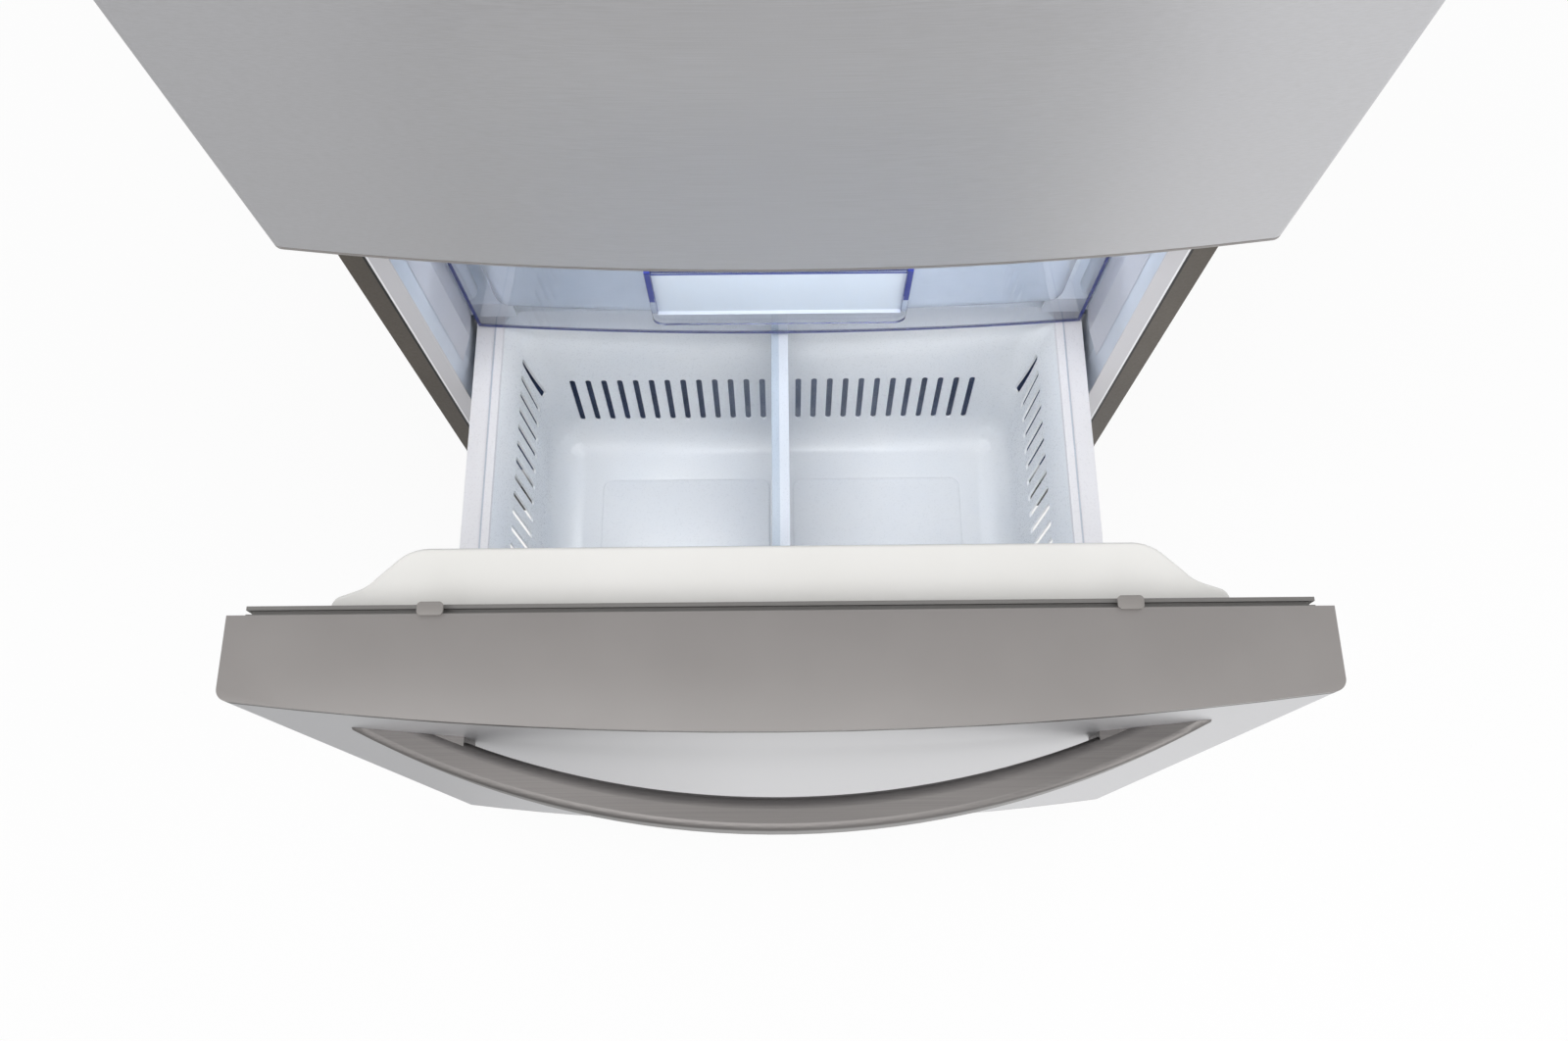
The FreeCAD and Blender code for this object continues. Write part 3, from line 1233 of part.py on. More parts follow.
def make_inner_drawer():
    edge = inside
    front = inner_front
    bow = inner_bow
    # Clear bowed front with its pull, moulded in one
    panel = prism("inner_panel", "XY_Plane", inner_low, inner_high, [
        (-inner_half, front + bow, bow * -1), (inner_half, front + bow),
        (inner_half, front + bow + 4, bow), (-inner_half, front + bow + 4)])
    pull = prism("inner_pull", "XZ_Plane", front - pull_depth, front + 3, [
        (-pull_half, inner_low + pull_high), (-pull_half, inner_low + pull_low + 12, -3.5),
        (12 - pull_half, inner_low + pull_low), (pull_half - 12, inner_low + pull_low, -3.5),
        (pull_half, inner_low + pull_low + 12), (pull_half, inner_low + pull_high)])
    dent = block(
        "inner_dent", (6 - pull_half, pull_half - 6), (front - pull_depth - 5, front - 0.5),
        (inner_low + pull_lip, inner_low + pull_high + 10))
    node("inner_drawer_front", join(
        "inner_drawer_front", panel, cut("inner_pull_dented", pull, dent)))

    # Tray behind the front, narrower than it
    side = tray_half
    sag = bow * (side * side) / (inner_half * inner_half)
    nose = front + sag + 4.2
    outer = prism("inner_tray_solid", "XY_Plane", tray_floor, inner_high - 22, [
        (-side, nose, -sag), (side, nose), (side, tray_back), (-side, tray_back)])
    round_edges(outer, "inner_tray_corner", tray_round + 3, lambda a, b: upright(a, b))
    low = tray_floor.value
    round_edges(outer, "inner_tray_foot", tray_round,
                lambda a, b: abs(a.z - low) < 1e-6 and abs(b.z - low) < 1e-6)
    room = prism("inner_tray_room", "XY_Plane", tray_floor + 3, inner_high, [
        (3 - side, nose + 3, -sag), (side - 3, nose + 3), (side - 3, tray_back - 3),
        (3 - side, tray_back - 3)])
    round_edges(room, "inner_tray_room_corner", tray_round, lambda a, b: upright(a, b))
    round_edges(room, "inner_tray_room_foot", tray_round - 3,
                lambda a, b: abs(a.z - low - 3) < 1e-6 and abs(b.z - low - 3) < 1e-6)
    node("inner_drawer_tray", cut("inner_drawer_tray", outer, room))

    # Rails on the liner walls with an upright guide at the front
    high = tray_floor - 0.3
    reach = edge - tray_half + 17
    shelf = block("inner_rail", (edge - reach, edge), (nose + 8, tray_back + 20), (high - 28, high))
    groove = block(
        "inner_rail_hollow", (edge - reach - 8, edge - 4), (nose + 4, tray_back + 30),
        (high - 40, high - 4))
    web = block("inner_rail_nose", (edge - reach, edge), (nose + 8, nose + 12), (high - 28, high))
    guide = prism("inner_guide", "XY_Plane", tray_floor - 2, inner_high + 60, [
        (edge, nose + 10), (edge - 11, nose + 14, 4), (edge - 11, nose + 34), (edge, nose + 38)])
    rail = join("inner_rail_solid", cut("inner_rail_angle", shelf, groove), web, guide)
    node("inner_drawer_rails", pair("inner_drawer_rails", rail))


def check_and_write():
    doc.recompute()
    for item in doc.Objects:
        if "Invalid" in item.State or "Error" in item.State:
            raise RuntimeError("failed object: " + item.Name)
    for name, item in nodes.items():
        shape = item.Shape
        if shape.isNull() or not shape.isValid() or not shape.Solids:
            raise RuntimeError("bad shape: " + name)
    os.makedirs("parts", exist_ok=True)
    for name, item in nodes.items():
        item.Shape.exportStep("parts/" + name + ".step")


make_cabinet_shell()
make_base()
make_hinges()
make_machinery()
make_fridge_fittings()
make_door()
make_drawer()
make_basket()
make_slides()
make_inner_drawer()
check_and_write()
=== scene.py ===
import math

import bmesh
import bpy
from mathutils import Matrix, Vector


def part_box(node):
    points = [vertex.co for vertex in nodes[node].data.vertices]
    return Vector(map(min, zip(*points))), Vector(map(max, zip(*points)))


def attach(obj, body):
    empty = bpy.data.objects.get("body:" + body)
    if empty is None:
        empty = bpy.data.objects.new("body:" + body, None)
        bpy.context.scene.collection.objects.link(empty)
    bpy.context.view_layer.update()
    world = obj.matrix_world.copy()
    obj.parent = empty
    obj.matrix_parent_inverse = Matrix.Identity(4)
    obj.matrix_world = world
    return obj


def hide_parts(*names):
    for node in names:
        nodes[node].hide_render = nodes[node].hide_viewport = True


# Fridge freezer with its drawer pulled out, seen from above and in front.
# Metres, in the frame of the solids: X to the right, Y to the back, Z up.

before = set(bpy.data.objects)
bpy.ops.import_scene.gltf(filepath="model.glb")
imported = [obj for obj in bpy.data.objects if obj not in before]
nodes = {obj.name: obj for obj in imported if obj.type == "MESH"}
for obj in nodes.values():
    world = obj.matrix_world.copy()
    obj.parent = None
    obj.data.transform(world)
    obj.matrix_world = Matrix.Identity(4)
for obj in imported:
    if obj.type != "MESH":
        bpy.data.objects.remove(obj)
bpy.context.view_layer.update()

# View of the photograph
PHOTO_WIDTH = 1600
FOCAL_PIXELS = 1249
SENSOR = 36.0
CAMERA_SPOT = (0.003, -0.664, 1.565)
CAMERA_DOWN = 71.2
CAMERA_ROLL = -0.52
NEAREST = 0.02
FARTHEST = 100

# Values of a noise texture between which its result is spread
NOISE_LOW = 0.3
NOISE_HIGH = 0.7

# Stretch of a texture that is the same along each axis
EVEN = (1, 1, 1)

# Grain of brushed steel
STEEL_DETAIL = 6.0
STEEL_SMOOTHER = 0.05
STEEL_ROUGHER = 0.07
STEEL_GRAIN = 0.00001
STEEL_GRAIN_SHARE = 0.4
STEEL_ANISOTROPY = 0.5

# Grain and slow shade changes of moulded plastic
PLASTIC_CLOUD = 7.0
PLASTIC_CLOUD_DETAIL = 3.0
PLASTIC_DETAIL = 2.0
PLASTIC_SWING = 0.05
PLASTIC_GRAIN_SHARE = 0.5

# Clear plastic and glass
CLEAR_IOR = 1.46
CLEAR_GRAIN = 60.0
CLEAR_SWING = 0.4

# Frost in the inner drawer's tray, as the scale of its clouds and its least and most share
TRAY_CLOUD = 40.0
TRAY_FROST_LOW = 0.35
TRAY_FROST_HIGH = 0.39

# Rim of the basket, with painted shade on its top and a painted shade line for a groove along it
RIM_DEPTH = 0.006
RIM_WIDTH = 0.030
RIM_GROOVE = 0.0195
GROOVE_WIDTH = 0.0018

# Raised panels on the basket floor
BASKET_SKIN = 0.0025
PANEL_BACK = 0.117
PANEL_FRONT = 0.07
PANEL_INNER = 0.014
PANEL_OUTER = 0.221
PANEL_SINK = 0.0004
PANEL_EDGE = 0.0002
PANEL_RISE = 0.001
PANEL_SLOPE = 0.0015
PANEL_CORNER = 0.012

# Step along the top rail of the basket's divider, left of which its painted shade is darker
DIVIDER_STEP = -0.001

# Pressed back panel, with screws round its border
BORDER = 0.03
PRESS_DEPTH = 0.0009
PRESS_SLOPE = 0.004
PRESS_CORNER = 0.001
PANEL_SCREW_RADIUS = 0.0042
PANEL_SCREW_SINK = 0.0003
PANEL_SCREW_HEIGHT = PRESS_DEPTH * 0.95
SCREW_END = 0.07
SCREWS_UP = 5
SCREWS_ACROSS = 3
SCREW_SPREAD = 0.55

# Screws in the plate of the middle hinge
HINGE_PLATE = 0.003
HINGE_SCREW_LEVEL = 0.0195
HINGE_SCREWS_ASIDE = (0.008, 0.026)
HINGE_SCREW_RADIUS = 0.003
HINGE_SCREW_HEIGHT = 0.0014

# Pan head of a screw from its foot to its socket, as shares of radius and height
HEAD_PROFILE = ((1.0, 0.0), (1.0, 0.5), (0.8, 1.0), (0.45, 1.0), (0.3, 0.4))
HEAD_SIDES = 12

# Steps round each corner of a plan
CORNER_STEPS = 6

# Step in the freezer liner's side walls, in front of the inner drawer's rails
STEP_REACH = 0.058
STEP_GAP = 0.003
STEP_RAMP = 0.027
STEP_DEPTH = 0.005
STEP_SINK = 0.001
STEP_FOOT = 0.011
STEP_RISE = 0.005
STEP_FOOT_SHARE = 0.3
CEILING_SKIN = 0.002

# Frosted band on the pull of the inner drawer
PULL_LIP = 0.052
PULL_HALF = 0.125
FROST_HEIGHT = 0.072
FROST_SHARE = 0.9
FROST_GLOW = 0.35

# Blue lines along the cut edges of the inner drawer's front
EDGE_FACING = 0.55
FOOT_LINE = 0.0035
END_LINE = 0.003
LINE_SHARE = 0.7
RIDGE_GAP = 0.0005
RIDGE_LINE = 0.0055
RIDGE_START = 0.026
RIDGE_SHARE = 0.95
BROW_START = 0.0722
BROW_END = 0.0752

# Front flange of the case, with the seam and the painted highlight along the edge of the liner
# beside it
FLANGE_WIDTH = 0.022
CASE_FLANGE_DEPTH = 0.003
LINER_FLANGE_DEPTH = 0.0012
SEAM_WIDTH = 0.0026
FLANGE_LINE = 0.002

# Levels above the freezer liner's foot between which its shade fades out
DEEP_START = 0.2
DEEP_END = 0.26

# Search for near walls that shade the liner, and the openness between which the shade fades out
DEEP_REACH = 0.3
DEEP_SAMPLES = 8
DEEP_DARKEST = 0.3
DEEP_LIGHTEST = 0.85

# The liner's side walls face sideways by more than this share
WALL_FACING = 0.5

# Dark joint between a skin and the cap above it
JOINT_HEIGHT = 0.004

# Edges turned by more degrees than this stay crisp
SHARP_ANGLE = 38

# Points of a solid's mesh that lie closer than this are one point
WELD_GAP = 0.00001

# Width of the rounding along the sharp edges, or 0 where only the facets are smoothed
EDGE_ROUNDS = {
    "basket": 0.0,
    "drawer_top_cap": 0.0012,
    "drawer_bottom_cap": 0.0012,
    "door_top_cap": 0.0012,
    "door_bottom_cap": 0.0012,
    "gasket_clips": 0.0006,
}

# Studio floor, with the share of its own glow that the camera and mirrors see
FLOOR_GLOW = 0.9
FLOOR_SIZE = 30.0
FLOOR_GREY = 0.9
FLOOR_ROUGHNESS = 0.9

# What metal mirrors of the floor dims towards the left, between two places across it
DIM_START = -0.05
DIM_END = -0.45
DIM_SHARE = 0.5

# Strength of the world as a light, and as it is seen or mirrored
WORLD_LIGHT = 0.7
WORLD_SEEN = 1.0

# Light colours of the lamps inside the compartments
COLD = (0.94, 0.97, 1.0)
PALE = (0.985, 0.99, 1.0)


def srgb(red, green, blue):
    """A screen colour from 0 to 255 as the linear colour that a shader takes."""
    linear = []
    for part in (red, green, blue):
        share = part / 255.0
        if share <= 0.04045:
            linear.append(share / 12.92)
        else:
            linear.append(((share + 0.055) / 1.055) ** 2.4)
    return (linear[0], linear[1], linear[2], 1.0)


# Node helpers

def new_material(name, colour, roughness, metallic=0.0):
    """A material with its node tree and its shader."""
    material = bpy.data.materials.new(name)
    material.use_nodes = True
    tree = material.node_tree
    shader = tree.nodes["Principled BSDF"]
    shader.inputs["Base Color"].default_value = colour
    shader.inputs["Roughness"].default_value = roughness
    shader.inputs["Metallic"].default_value = metallic
    return material, tree, shader


def along(tree, axis):
    """One coordinate of the point in the object's own metres."""
    where = tree.nodes.new("ShaderNodeTexCoord")
    split = tree.nodes.new("ShaderNodeSeparateXYZ")
    tree.links.new(where.outputs["Object"], split.inputs["Vector"])
    return split.outputs[axis]


def worked(tree, operation, first, second=None):
    """A number worked out from one or two others."""
    step = tree.nodes.new("ShaderNodeMath")
    step.operation = operation
    for slot, amount in zip(step.inputs, (first, second)):
        if isinstance(amount, float):
            slot.default_value = amount
        elif amount is not None:
            tree.links.new(amount, slot)
    return step.outputs[0]


def facing(tree, axis):
    """How squarely the surface looks along an axis, either way."""
    where = tree.nodes.new("ShaderNodeTexCoord")
    split = tree.nodes.new("ShaderNodeSeparateXYZ")
    tree.links.new(where.outputs["Normal"], split.inputs["Vector"])
    return worked(tree, "ABSOLUTE", split.outputs[axis])


def both(tree, *masks):
    """One only where every mask is one."""
    joined = masks[0]
    for mask in masks[1:]:
        joined = worked(tree, "MULTIPLY", joined, mask)
    return joined


def either(tree, *masks):
    """One where any mask is one."""
    joined = masks[0]
    for mask in masks[1:]:
        joined = worked(tree, "MAXIMUM", joined, mask)
    return joined


def mapped(tree, value, start, end, low=0.0, high=1.0):
    """A value carried over from one span of numbers to another."""
    span = tree.nodes.new("ShaderNodeMapRange")
    span.inputs["From Min"].default_value = start
    span.inputs["From Max"].default_value = end
    span.inputs["To Min"].default_value = low
    span.inputs["To Max"].default_value = high
    tree.links.new(value, span.inputs["Value"])
    return span.outputs["Result"]


def noise(tree, stretch, scale, detail):
    """A noise texture in the object's own metres, stretched along each axis."""
    where = tree.nodes.new("ShaderNodeTexCoord")
    mapping = tree.nodes.new("ShaderNodeMapping")
    mapping.inputs["Scale"].default_value = stretch
    texture = tree.nodes.new("ShaderNodeTexNoise")
    texture.inputs["Scale"].default_value = scale
    texture.inputs["Detail"].default_value = detail
    tree.links.new(where.outputs["Object"], mapping.inputs["Vector"])
    tree.links.new(mapping.outputs["Vector"], texture.inputs["Vector"])
    return texture


def spread(tree, texture, low, high):
    """The texture's value as a number between two limits."""
    return mapped(tree, texture.outputs["Fac"], NOISE_LOW, NOISE_HIGH, low, high)


def tint(tree, shader, texture, dark, light):
    """Base colour that wanders between two colours."""
    ramp = tree.nodes.new("ShaderNodeValToRGB")
    ramp.color_ramp.elements[0].position = NOISE_LOW
    ramp.color_ramp.elements[0].color = dark
    ramp.color_ramp.elements[1].position = NOISE_HIGH
    ramp.color_ramp.elements[1].color = light
    tree.links.new(texture.outputs["Fac"], ramp.inputs["Fac"])
    tree.links.new(ramp.outputs["Color"], shader.inputs["Base Color"])


def relief(tree, shader, texture, depth, strength):
    """Bump whose full height is the given depth in metres."""
    bump = tree.nodes.new("ShaderNodeBump")
    bump.inputs["Distance"].default_value = depth
    bump.inputs["Strength"].default_value = strength
    tree.links.new(texture.outputs["Fac"], bump.inputs["Height"])
    tree.links.new(bump.outputs["Normal"], shader.inputs["Normal"])


def mixed(tree, share, first, second):
    """One colour that turns into another by a share from none to all."""
    mix = tree.nodes.new("ShaderNodeMix")
    mix.data_type = "RGBA"
    tree.links.new(share, mix.inputs["Factor"])
    for slot, colour in (("A", first), ("B", second)):
        if isinstance(colour, tuple):
            mix.inputs[slot].default_value = colour
        else:
            tree.links.new(colour, mix.inputs[slot])
    return mix.outputs["Result"]


def painted_where(tree, socket, mask, colour):
    """Put another colour over what a colour socket takes, where the mask is one."""
    under = socket.links[0].from_socket
    tree.links.new(mixed(tree, mask, under, colour), socket)


def plain_surface(tree, kind, colour):
    """A surface that only scatters light, back or through."""
    surface = tree.nodes.new(kind)
    surface.inputs["Color"].default_value = colour
    return surface.outputs["BSDF"]


def blended(tree, share, first, second):
    """One surface that turns into another by a share from none to all."""
    mix = tree.nodes.new("ShaderNodeMixShader")
    if isinstance(share, float):
        mix.inputs["Fac"].default_value = share
    else:
        tree.links.new(share, mix.inputs["Fac"])
    tree.links.new(first, mix.inputs[1])
    tree.links.new(second, mix.inputs[2])
    return mix.outputs["Shader"]


def let_through(material, colour, share):
    """Let part of the light that falls on one side of a wall come out on the other."""
    tree = material.node_tree
    out = tree.nodes["Material Output"].inputs["Surface"]
    front = out.links[0].from_socket
    glow = plain_surface(tree, "ShaderNodeBsdfTranslucent", colour)
    tree.links.new(blended(tree, share, front, glow), out)


# Materials

def brushed_steel(name, stretch, dark, light, roughness, metallic=1.0):
    """Stainless sheet or bar with fine grain lines along one axis."""
    material, tree, shader = new_material(name, light, roughness, metallic)
    grain = noise(tree, stretch, 1.0, STEEL_DETAIL)
    tint(tree, shader, grain, dark, light)
    rough = spread(tree, grain, roughness - STEEL_SMOOTHER, roughness + STEEL_ROUGHER)
    tree.links.new(rough, shader.inputs["Roughness"])
    relief(tree, shader, grain, STEEL_GRAIN, STEEL_GRAIN_SHARE)
    shader.inputs["Anisotropic"].default_value = STEEL_ANISOTROPY
    return material


def jointed_steel(name, box):
    """The sheet of a skin, with a dark joint along its top edge under the cap."""
    material = brushed_steel(
        name, stretch=(4, 1600, 1600), dark=srgb(190, 190, 192), light=srgb(199, 199, 202),
        roughness=0.36, metallic=0.6)
    tree = material.node_tree
    shader = tree.nodes["Principled BSDF"]
    joint = worked(tree, "GREATER_THAN", along(tree, "Z"), box[1][2] - JOINT_HEIGHT)
    painted_where(tree, shader.inputs["Base Color"], joint, srgb(74, 71, 69))
    return material


def moulded(name, dark, light, roughness, scale=900.0, depth=0.00002):
    """Injection moulded plastic with a fine surface grain and slight shade changes."""
    material, tree, shader = new_material(name, light, roughness)
    cloud = noise(tree, EVEN, PLASTIC_CLOUD, PLASTIC_CLOUD_DETAIL)
    tint(tree, shader, cloud, dark, light)
    grain = noise(tree, EVEN, scale, PLASTIC_DETAIL)
    rough = spread(tree, grain, roughness - PLASTIC_SWING, roughness + PLASTIC_SWING)
    tree.links.new(rough, shader.inputs["Roughness"])
    relief(tree, shader, grain, depth, PLASTIC_GRAIN_SHARE)
    return material


def clear_moulding(name, colour, roughness, density, shade):
    """Clear plastic or glass that takes on a shade where the light goes a long way."""
    material, tree, shader = new_material(name, colour, roughness)
    shader.inputs["Transmission Weight"].default_value = 1.0
    shader.inputs["IOR"].default_value = CLEAR_IOR
    grain = noise(tree, EVEN, CLEAR_GRAIN, PLASTIC_DETAIL)
    rough = spread(tree, grain, roughness * (1 - CLEAR_SWING), roughness * (1 + CLEAR_SWING))
    tree.links.new(rough, shader.inputs["Roughness"])
    depth = tree.nodes.new("ShaderNodeVolumeAbsorption")
    depth.inputs["Color"].default_value = shade
    depth.inputs["Density"].default_value = density
    tree.links.new(depth.outputs["Volume"], tree.nodes["Material Output"].inputs["Volume"])
    return material


def clear_plastic(name, roughness, density):
    """The clear plastic of the drawers and bins, blue where the light goes a long way."""
    return clear_moulding(
        name, srgb(250, 252, 255), roughness, density, shade=srgb(120, 140, 235))


def blue_lines(tree, box):
    """Where the cut edges, foot, ends and pull of the inner drawer's front look blue."""
    rim = worked(tree, "LESS_THAN", facing(tree, "Y"), EDGE_FACING)
    aside = worked(tree, "ABSOLUTE", along(tree, "X"))
    height = along(tree, "Z")
    foot = worked(tree, "LESS_THAN", height, box[0][2] + FOOT_LINE)
    end = worked(tree, "GREATER_THAN", aside, box[1][0] - END_LINE)
    low = box[0][2] + PULL_LIP
    ridge = both(
        tree,
        worked(tree, "GREATER_THAN", aside, PULL_HALF + RIDGE_GAP),
        worked(tree, "LESS_THAN", aside, PULL_HALF + RIDGE_LINE),
        worked(tree, "GREATER_THAN", height, low + RIDGE_START))
    brow = both(
        tree,
        worked(tree, "LESS_THAN", aside, PULL_HALF + RIDGE_LINE),
        worked(tree, "GREATER_THAN", height, low + BROW_START),
        worked(tree, "LESS_THAN", height, low + BROW_END))
    lines = worked(tree, "MULTIPLY", either(tree, foot, end), LINE_SHARE)
    pull = worked(tree, "MULTIPLY", either(tree, ridge, brow), RIDGE_SHARE)
    return either(tree, rim, pull, lines)


def frost_band(tree, box):
    """Where the pull of the inner drawer's front is frosted."""
    aside = worked(tree, "ABSOLUTE", along(tree, "X"))
    height = along(tree, "Z")
    low = box[0][2] + PULL_LIP
    band = both(
        tree,
        worked(tree, "LESS_THAN", aside, PULL_HALF),
        worked(tree, "GREATER_THAN", height, low),
        worked(tree, "LESS_THAN", height, low + FROST_HEIGHT))
    return worked(tree, "MULTIPLY", band, FROST_SHARE)


def blue_edged_front(box):
    """Clear front whose cut edges glow blue, with a frosted band across the pull."""
    material = clear_plastic("clear_front_plastic", roughness=0.03, density=4.0)
    tree = material.node_tree
    clear = tree.nodes["Principled BSDF"].outputs["BSDF"]
    edge = tree.nodes.new("ShaderNodeBsdfPrincipled")
    edge.inputs["Base Color"].default_value = srgb(46, 58, 142)
    edge.inputs["Roughness"].default_value = 0.25
    edge.inputs["Transmission Weight"].default_value = 0.12
    edged = blended(tree, blue_lines(tree, box), clear, edge.outputs["BSDF"])

    frost_colour = srgb(238, 246, 254)
    frost = plain_surface(tree, "ShaderNodeBsdfDiffuse", frost_colour)
    glow = plain_surface(tree, "ShaderNodeBsdfTranslucent", frost_colour)
    cloudy = blended(tree, FROST_GLOW, frost, glow)
    cover = blended(tree, frost_band(tree, box), edged, cloudy)
    tree.links.new(cover, tree.nodes["Material Output"].inputs["Surface"])
    return material


def lit_share(tree, box):
    """Share of the liner's own colour over its painted shade: none in the tight low space round the
    basket, one where the liner is open or high.
    """
    reach = tree.nodes.new("ShaderNodeAmbientOcclusion")
    reach.inputs["Distance"].default_value = DEEP_REACH
    reach.samples = DEEP_SAMPLES
    share = mapped(tree, reach.outputs["AO"], DEEP_DARKEST, DEEP_LIGHTEST)
    rise = mapped(tree, along(tree, "Z"), box[0][2] + DEEP_START, box[0][2] + DEEP_END)
    return either(tree, share, rise)


def shaded_liner(box):
    """White vacuum formed sheet painted a shade darker, with a grey flange, a painted highlight
    along the flange's outer edge and painted deep blue shade in the low space round the basket.
    """
    # The liner's white plastic, painted a shade darker
    material = moulded(
        "liner_plastic", srgb(198, 206, 218), srgb(206, 213, 224), roughness=0.22, scale=160.0)
    tree = material.node_tree
    colour = tree.nodes["Principled BSDF"].inputs["Base Color"]
    pale = colour.links[0].from_socket
    # Painted shade: deep blue on the liner's floor and grey-blue on its walls in the low space
    # round the basket, fading out where the liner is open or high
    across = worked(tree, "LESS_THAN", facing(tree, "X"), WALL_FACING)
    deep = mixed(tree, across, srgb(158, 166, 180), srgb(54, 70, 108))
    tree.links.new(mixed(tree, lit_share(tree, box), deep, pale), colour)
    flange = worked(tree, "LESS_THAN", along(tree, "Y"), box[0][1] + LINER_FLANGE_DEPTH)
    painted_where(tree, colour, flange, srgb(203, 202, 206))
    # Painted highlight along the outer edge of the liner's flange
    aside = worked(tree, "ABSOLUTE", along(tree, "X"))
    line = both(tree, flange, worked(tree, "GREATER_THAN", aside, box[1][0] - FLANGE_LINE))
    painted_where(tree, colour, line, srgb(240, 240, 243))
    return material


def frosted_basket(box):
    """Cloudy bluish polypropylene that lets some light through, with painted shade on the rim and
    along a groove in it.
    """
    material = moulded(
        "basket_plastic", srgb(238, 242, 247), srgb(246, 248, 250), roughness=0.3, scale=500.0)
    tree = material.node_tree
    shader = tree.nodes["Principled BSDF"]
    shader.inputs["Coat Weight"].default_value = 0.15
    shader.inputs["Coat Roughness"].default_value = 0.12
    aside = worked(tree, "ABSOLUTE", along(tree, "X"))
    top = worked(tree, "GREATER_THAN", along(tree, "Z"), box[1][2] - RIM_DEPTH)
    outer = worked(tree, "GREATER_THAN", aside, box[1][0] - RIM_WIDTH)
    colour = shader.inputs["Base Color"]
    # Painted shade over the top of the rim
    painted_where(tree, colour, both(tree, top, outer), srgb(229, 228, 231))
    inward = worked(tree, "LESS_THAN", aside, box[1][0] - RIM_GROOVE)
    outward = worked(tree, "GREATER_THAN", aside, box[1][0] - RIM_GROOVE - GROOVE_WIDTH)
    # Painted shade line where a groove runs along the rim
    painted_where(tree, colour, both(tree, top, inward, outward), srgb(188, 194, 205))
    let_through(material, srgb(232, 240, 250), share=0.12)
    return material


def shaded_divider():
    """The basket's plastic painted a shade darker, and darker still on the left of the step along
    the top rail.
    """
    # The basket's plastic, painted a shade darker
    material = moulded(
        "divider_plastic", srgb(186, 192, 201), srgb(193, 199, 207), roughness=0.3, scale=500.0)
    tree = material.node_tree
    shader = tree.nodes["Principled BSDF"]
    # Painted shade, deeper on the divider's left half
    left = worked(tree, "LESS_THAN", along(tree, "X"), DIVIDER_STEP)
    painted_where(tree, shader.inputs["Base Color"], left, srgb(160, 171, 184))
    return material


def frosted_tray():
    """Clear plastic with a fine frost inside, so that the tray looks a pale blue white."""
    material = clear_plastic("tray_plastic", roughness=0.08, density=4.0)
    tree = material.node_tree
    out = tree.nodes["Material Output"].inputs["Surface"]
    clear = out.links[0].from_socket
    frost = plain_surface(tree, "ShaderNodeBsdfDiffuse", srgb(236, 244, 253))
    cloud = noise(tree, EVEN, TRAY_CLOUD, PLASTIC_DETAIL)
    share = spread(tree, cloud, TRAY_FROST_LOW, TRAY_FROST_HIGH)
    tree.links.new(blended(tree, share, clear, frost), out)
    return material


def textured_paint():
    """Dark painted steel with the orange-peel of a powder coat."""
    return moulded(
        "painted_steel", srgb(76, 69, 61), srgb(85, 78, 69), roughness=0.45, scale=380.0,
        depth=0.00008)


def flanged_paint(box):
    """The same paint, with the dark seam where the liner tucks in behind the front flange."""
    material = textured_paint()
    material.name = "painted_case"
    tree = material.node_tree
    shader = tree.nodes["Principled BSDF"]
    edge = box[1][0] - FLANGE_WIDTH + SEAM_WIDTH
    inner = worked(tree, "LESS_THAN", worked(tree, "ABSOLUTE", along(tree, "X")), edge)
    front = worked(tree, "LESS_THAN", along(tree, "Y"), box[0][1] + CASE_FLANGE_DEPTH)
    under = worked(tree, "LESS_THAN", along(tree, "Z"), box[1][2] - FLANGE_WIDTH)
    seam = both(tree, inner, front, under)
    painted_where(tree, shader.inputs["Base Color"], seam, srgb(14, 14, 15))
    return material


def lit_lens():
    """Diffuser over a lamp that is on."""
    material = moulded("lamp_lens", srgb(226, 236, 250), srgb(236, 244, 255), roughness=0.4)
    shader = material.node_tree.nodes["Principled BSDF"]
    shader.inputs["Emission Color"].default_value = srgb(226, 238, 255)
    shader.inputs["Emission Strength"].default_value = 1.5
    return material


def spangled_zinc():
    """Galvanised sheet with a faint crystal pattern."""
    material, tree, shader = new_material(
        "galvanised_steel", srgb(176, 179, 182), roughness=0.4, metallic=1.0)
    where = tree.nodes.new("ShaderNodeTexCoord")
    cells = tree.nodes.new("ShaderNodeTexVoronoi")
    cells.inputs["Scale"].default_value = 110.0
    tree.links.new(where.outputs["Object"], cells.inputs["Vector"])
    ramp = tree.nodes.new("ShaderNodeValToRGB")
    ramp.color_ramp.elements[0].color = srgb(166, 169, 172)
    ramp.color_ramp.elements[1].color = srgb(182, 185, 188)
    tree.links.new(cells.outputs["Color"], ramp.inputs["Fac"])
    tree.links.new(ramp.outputs["Color"], shader.inputs["Base Color"])
    return material


def metals():
    """Looks of the bare steel, zinc and aluminium pieces."""
    bar_dark = srgb(113, 110, 109)
    bar_light = srgb(126, 123, 121)
    return {
        "door_sheet": jointed_steel("stainless_door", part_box("door_skin")),
        "drawer_sheet": jointed_steel("stainless_drawer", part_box("drawer_skin")),
        "bar": brushed_steel(
            "stainless_bar", stretch=(6, 1200, 1200), dark=bar_dark, light=bar_light,
            roughness=0.44),
        "upright_bar": brushed_steel(
            "stainless_upright_bar", stretch=(1200, 1200, 6), dark=bar_dark, light=bar_light,
            roughness=0.38),
        "zinc": brushed_steel(
            "zinc_steel", stretch=(30, 500, 500), dark=srgb(168, 170, 173),
            light=srgb(190, 192, 195), roughness=0.35),
        "aluminium": brushed_steel(
            "coil_aluminium", stretch=(60, 200, 200), dark=srgb(190, 192, 194),
            light=srgb(212, 214, 216), roughness=0.38),
        "galvanised": spangled_zinc(),
    }


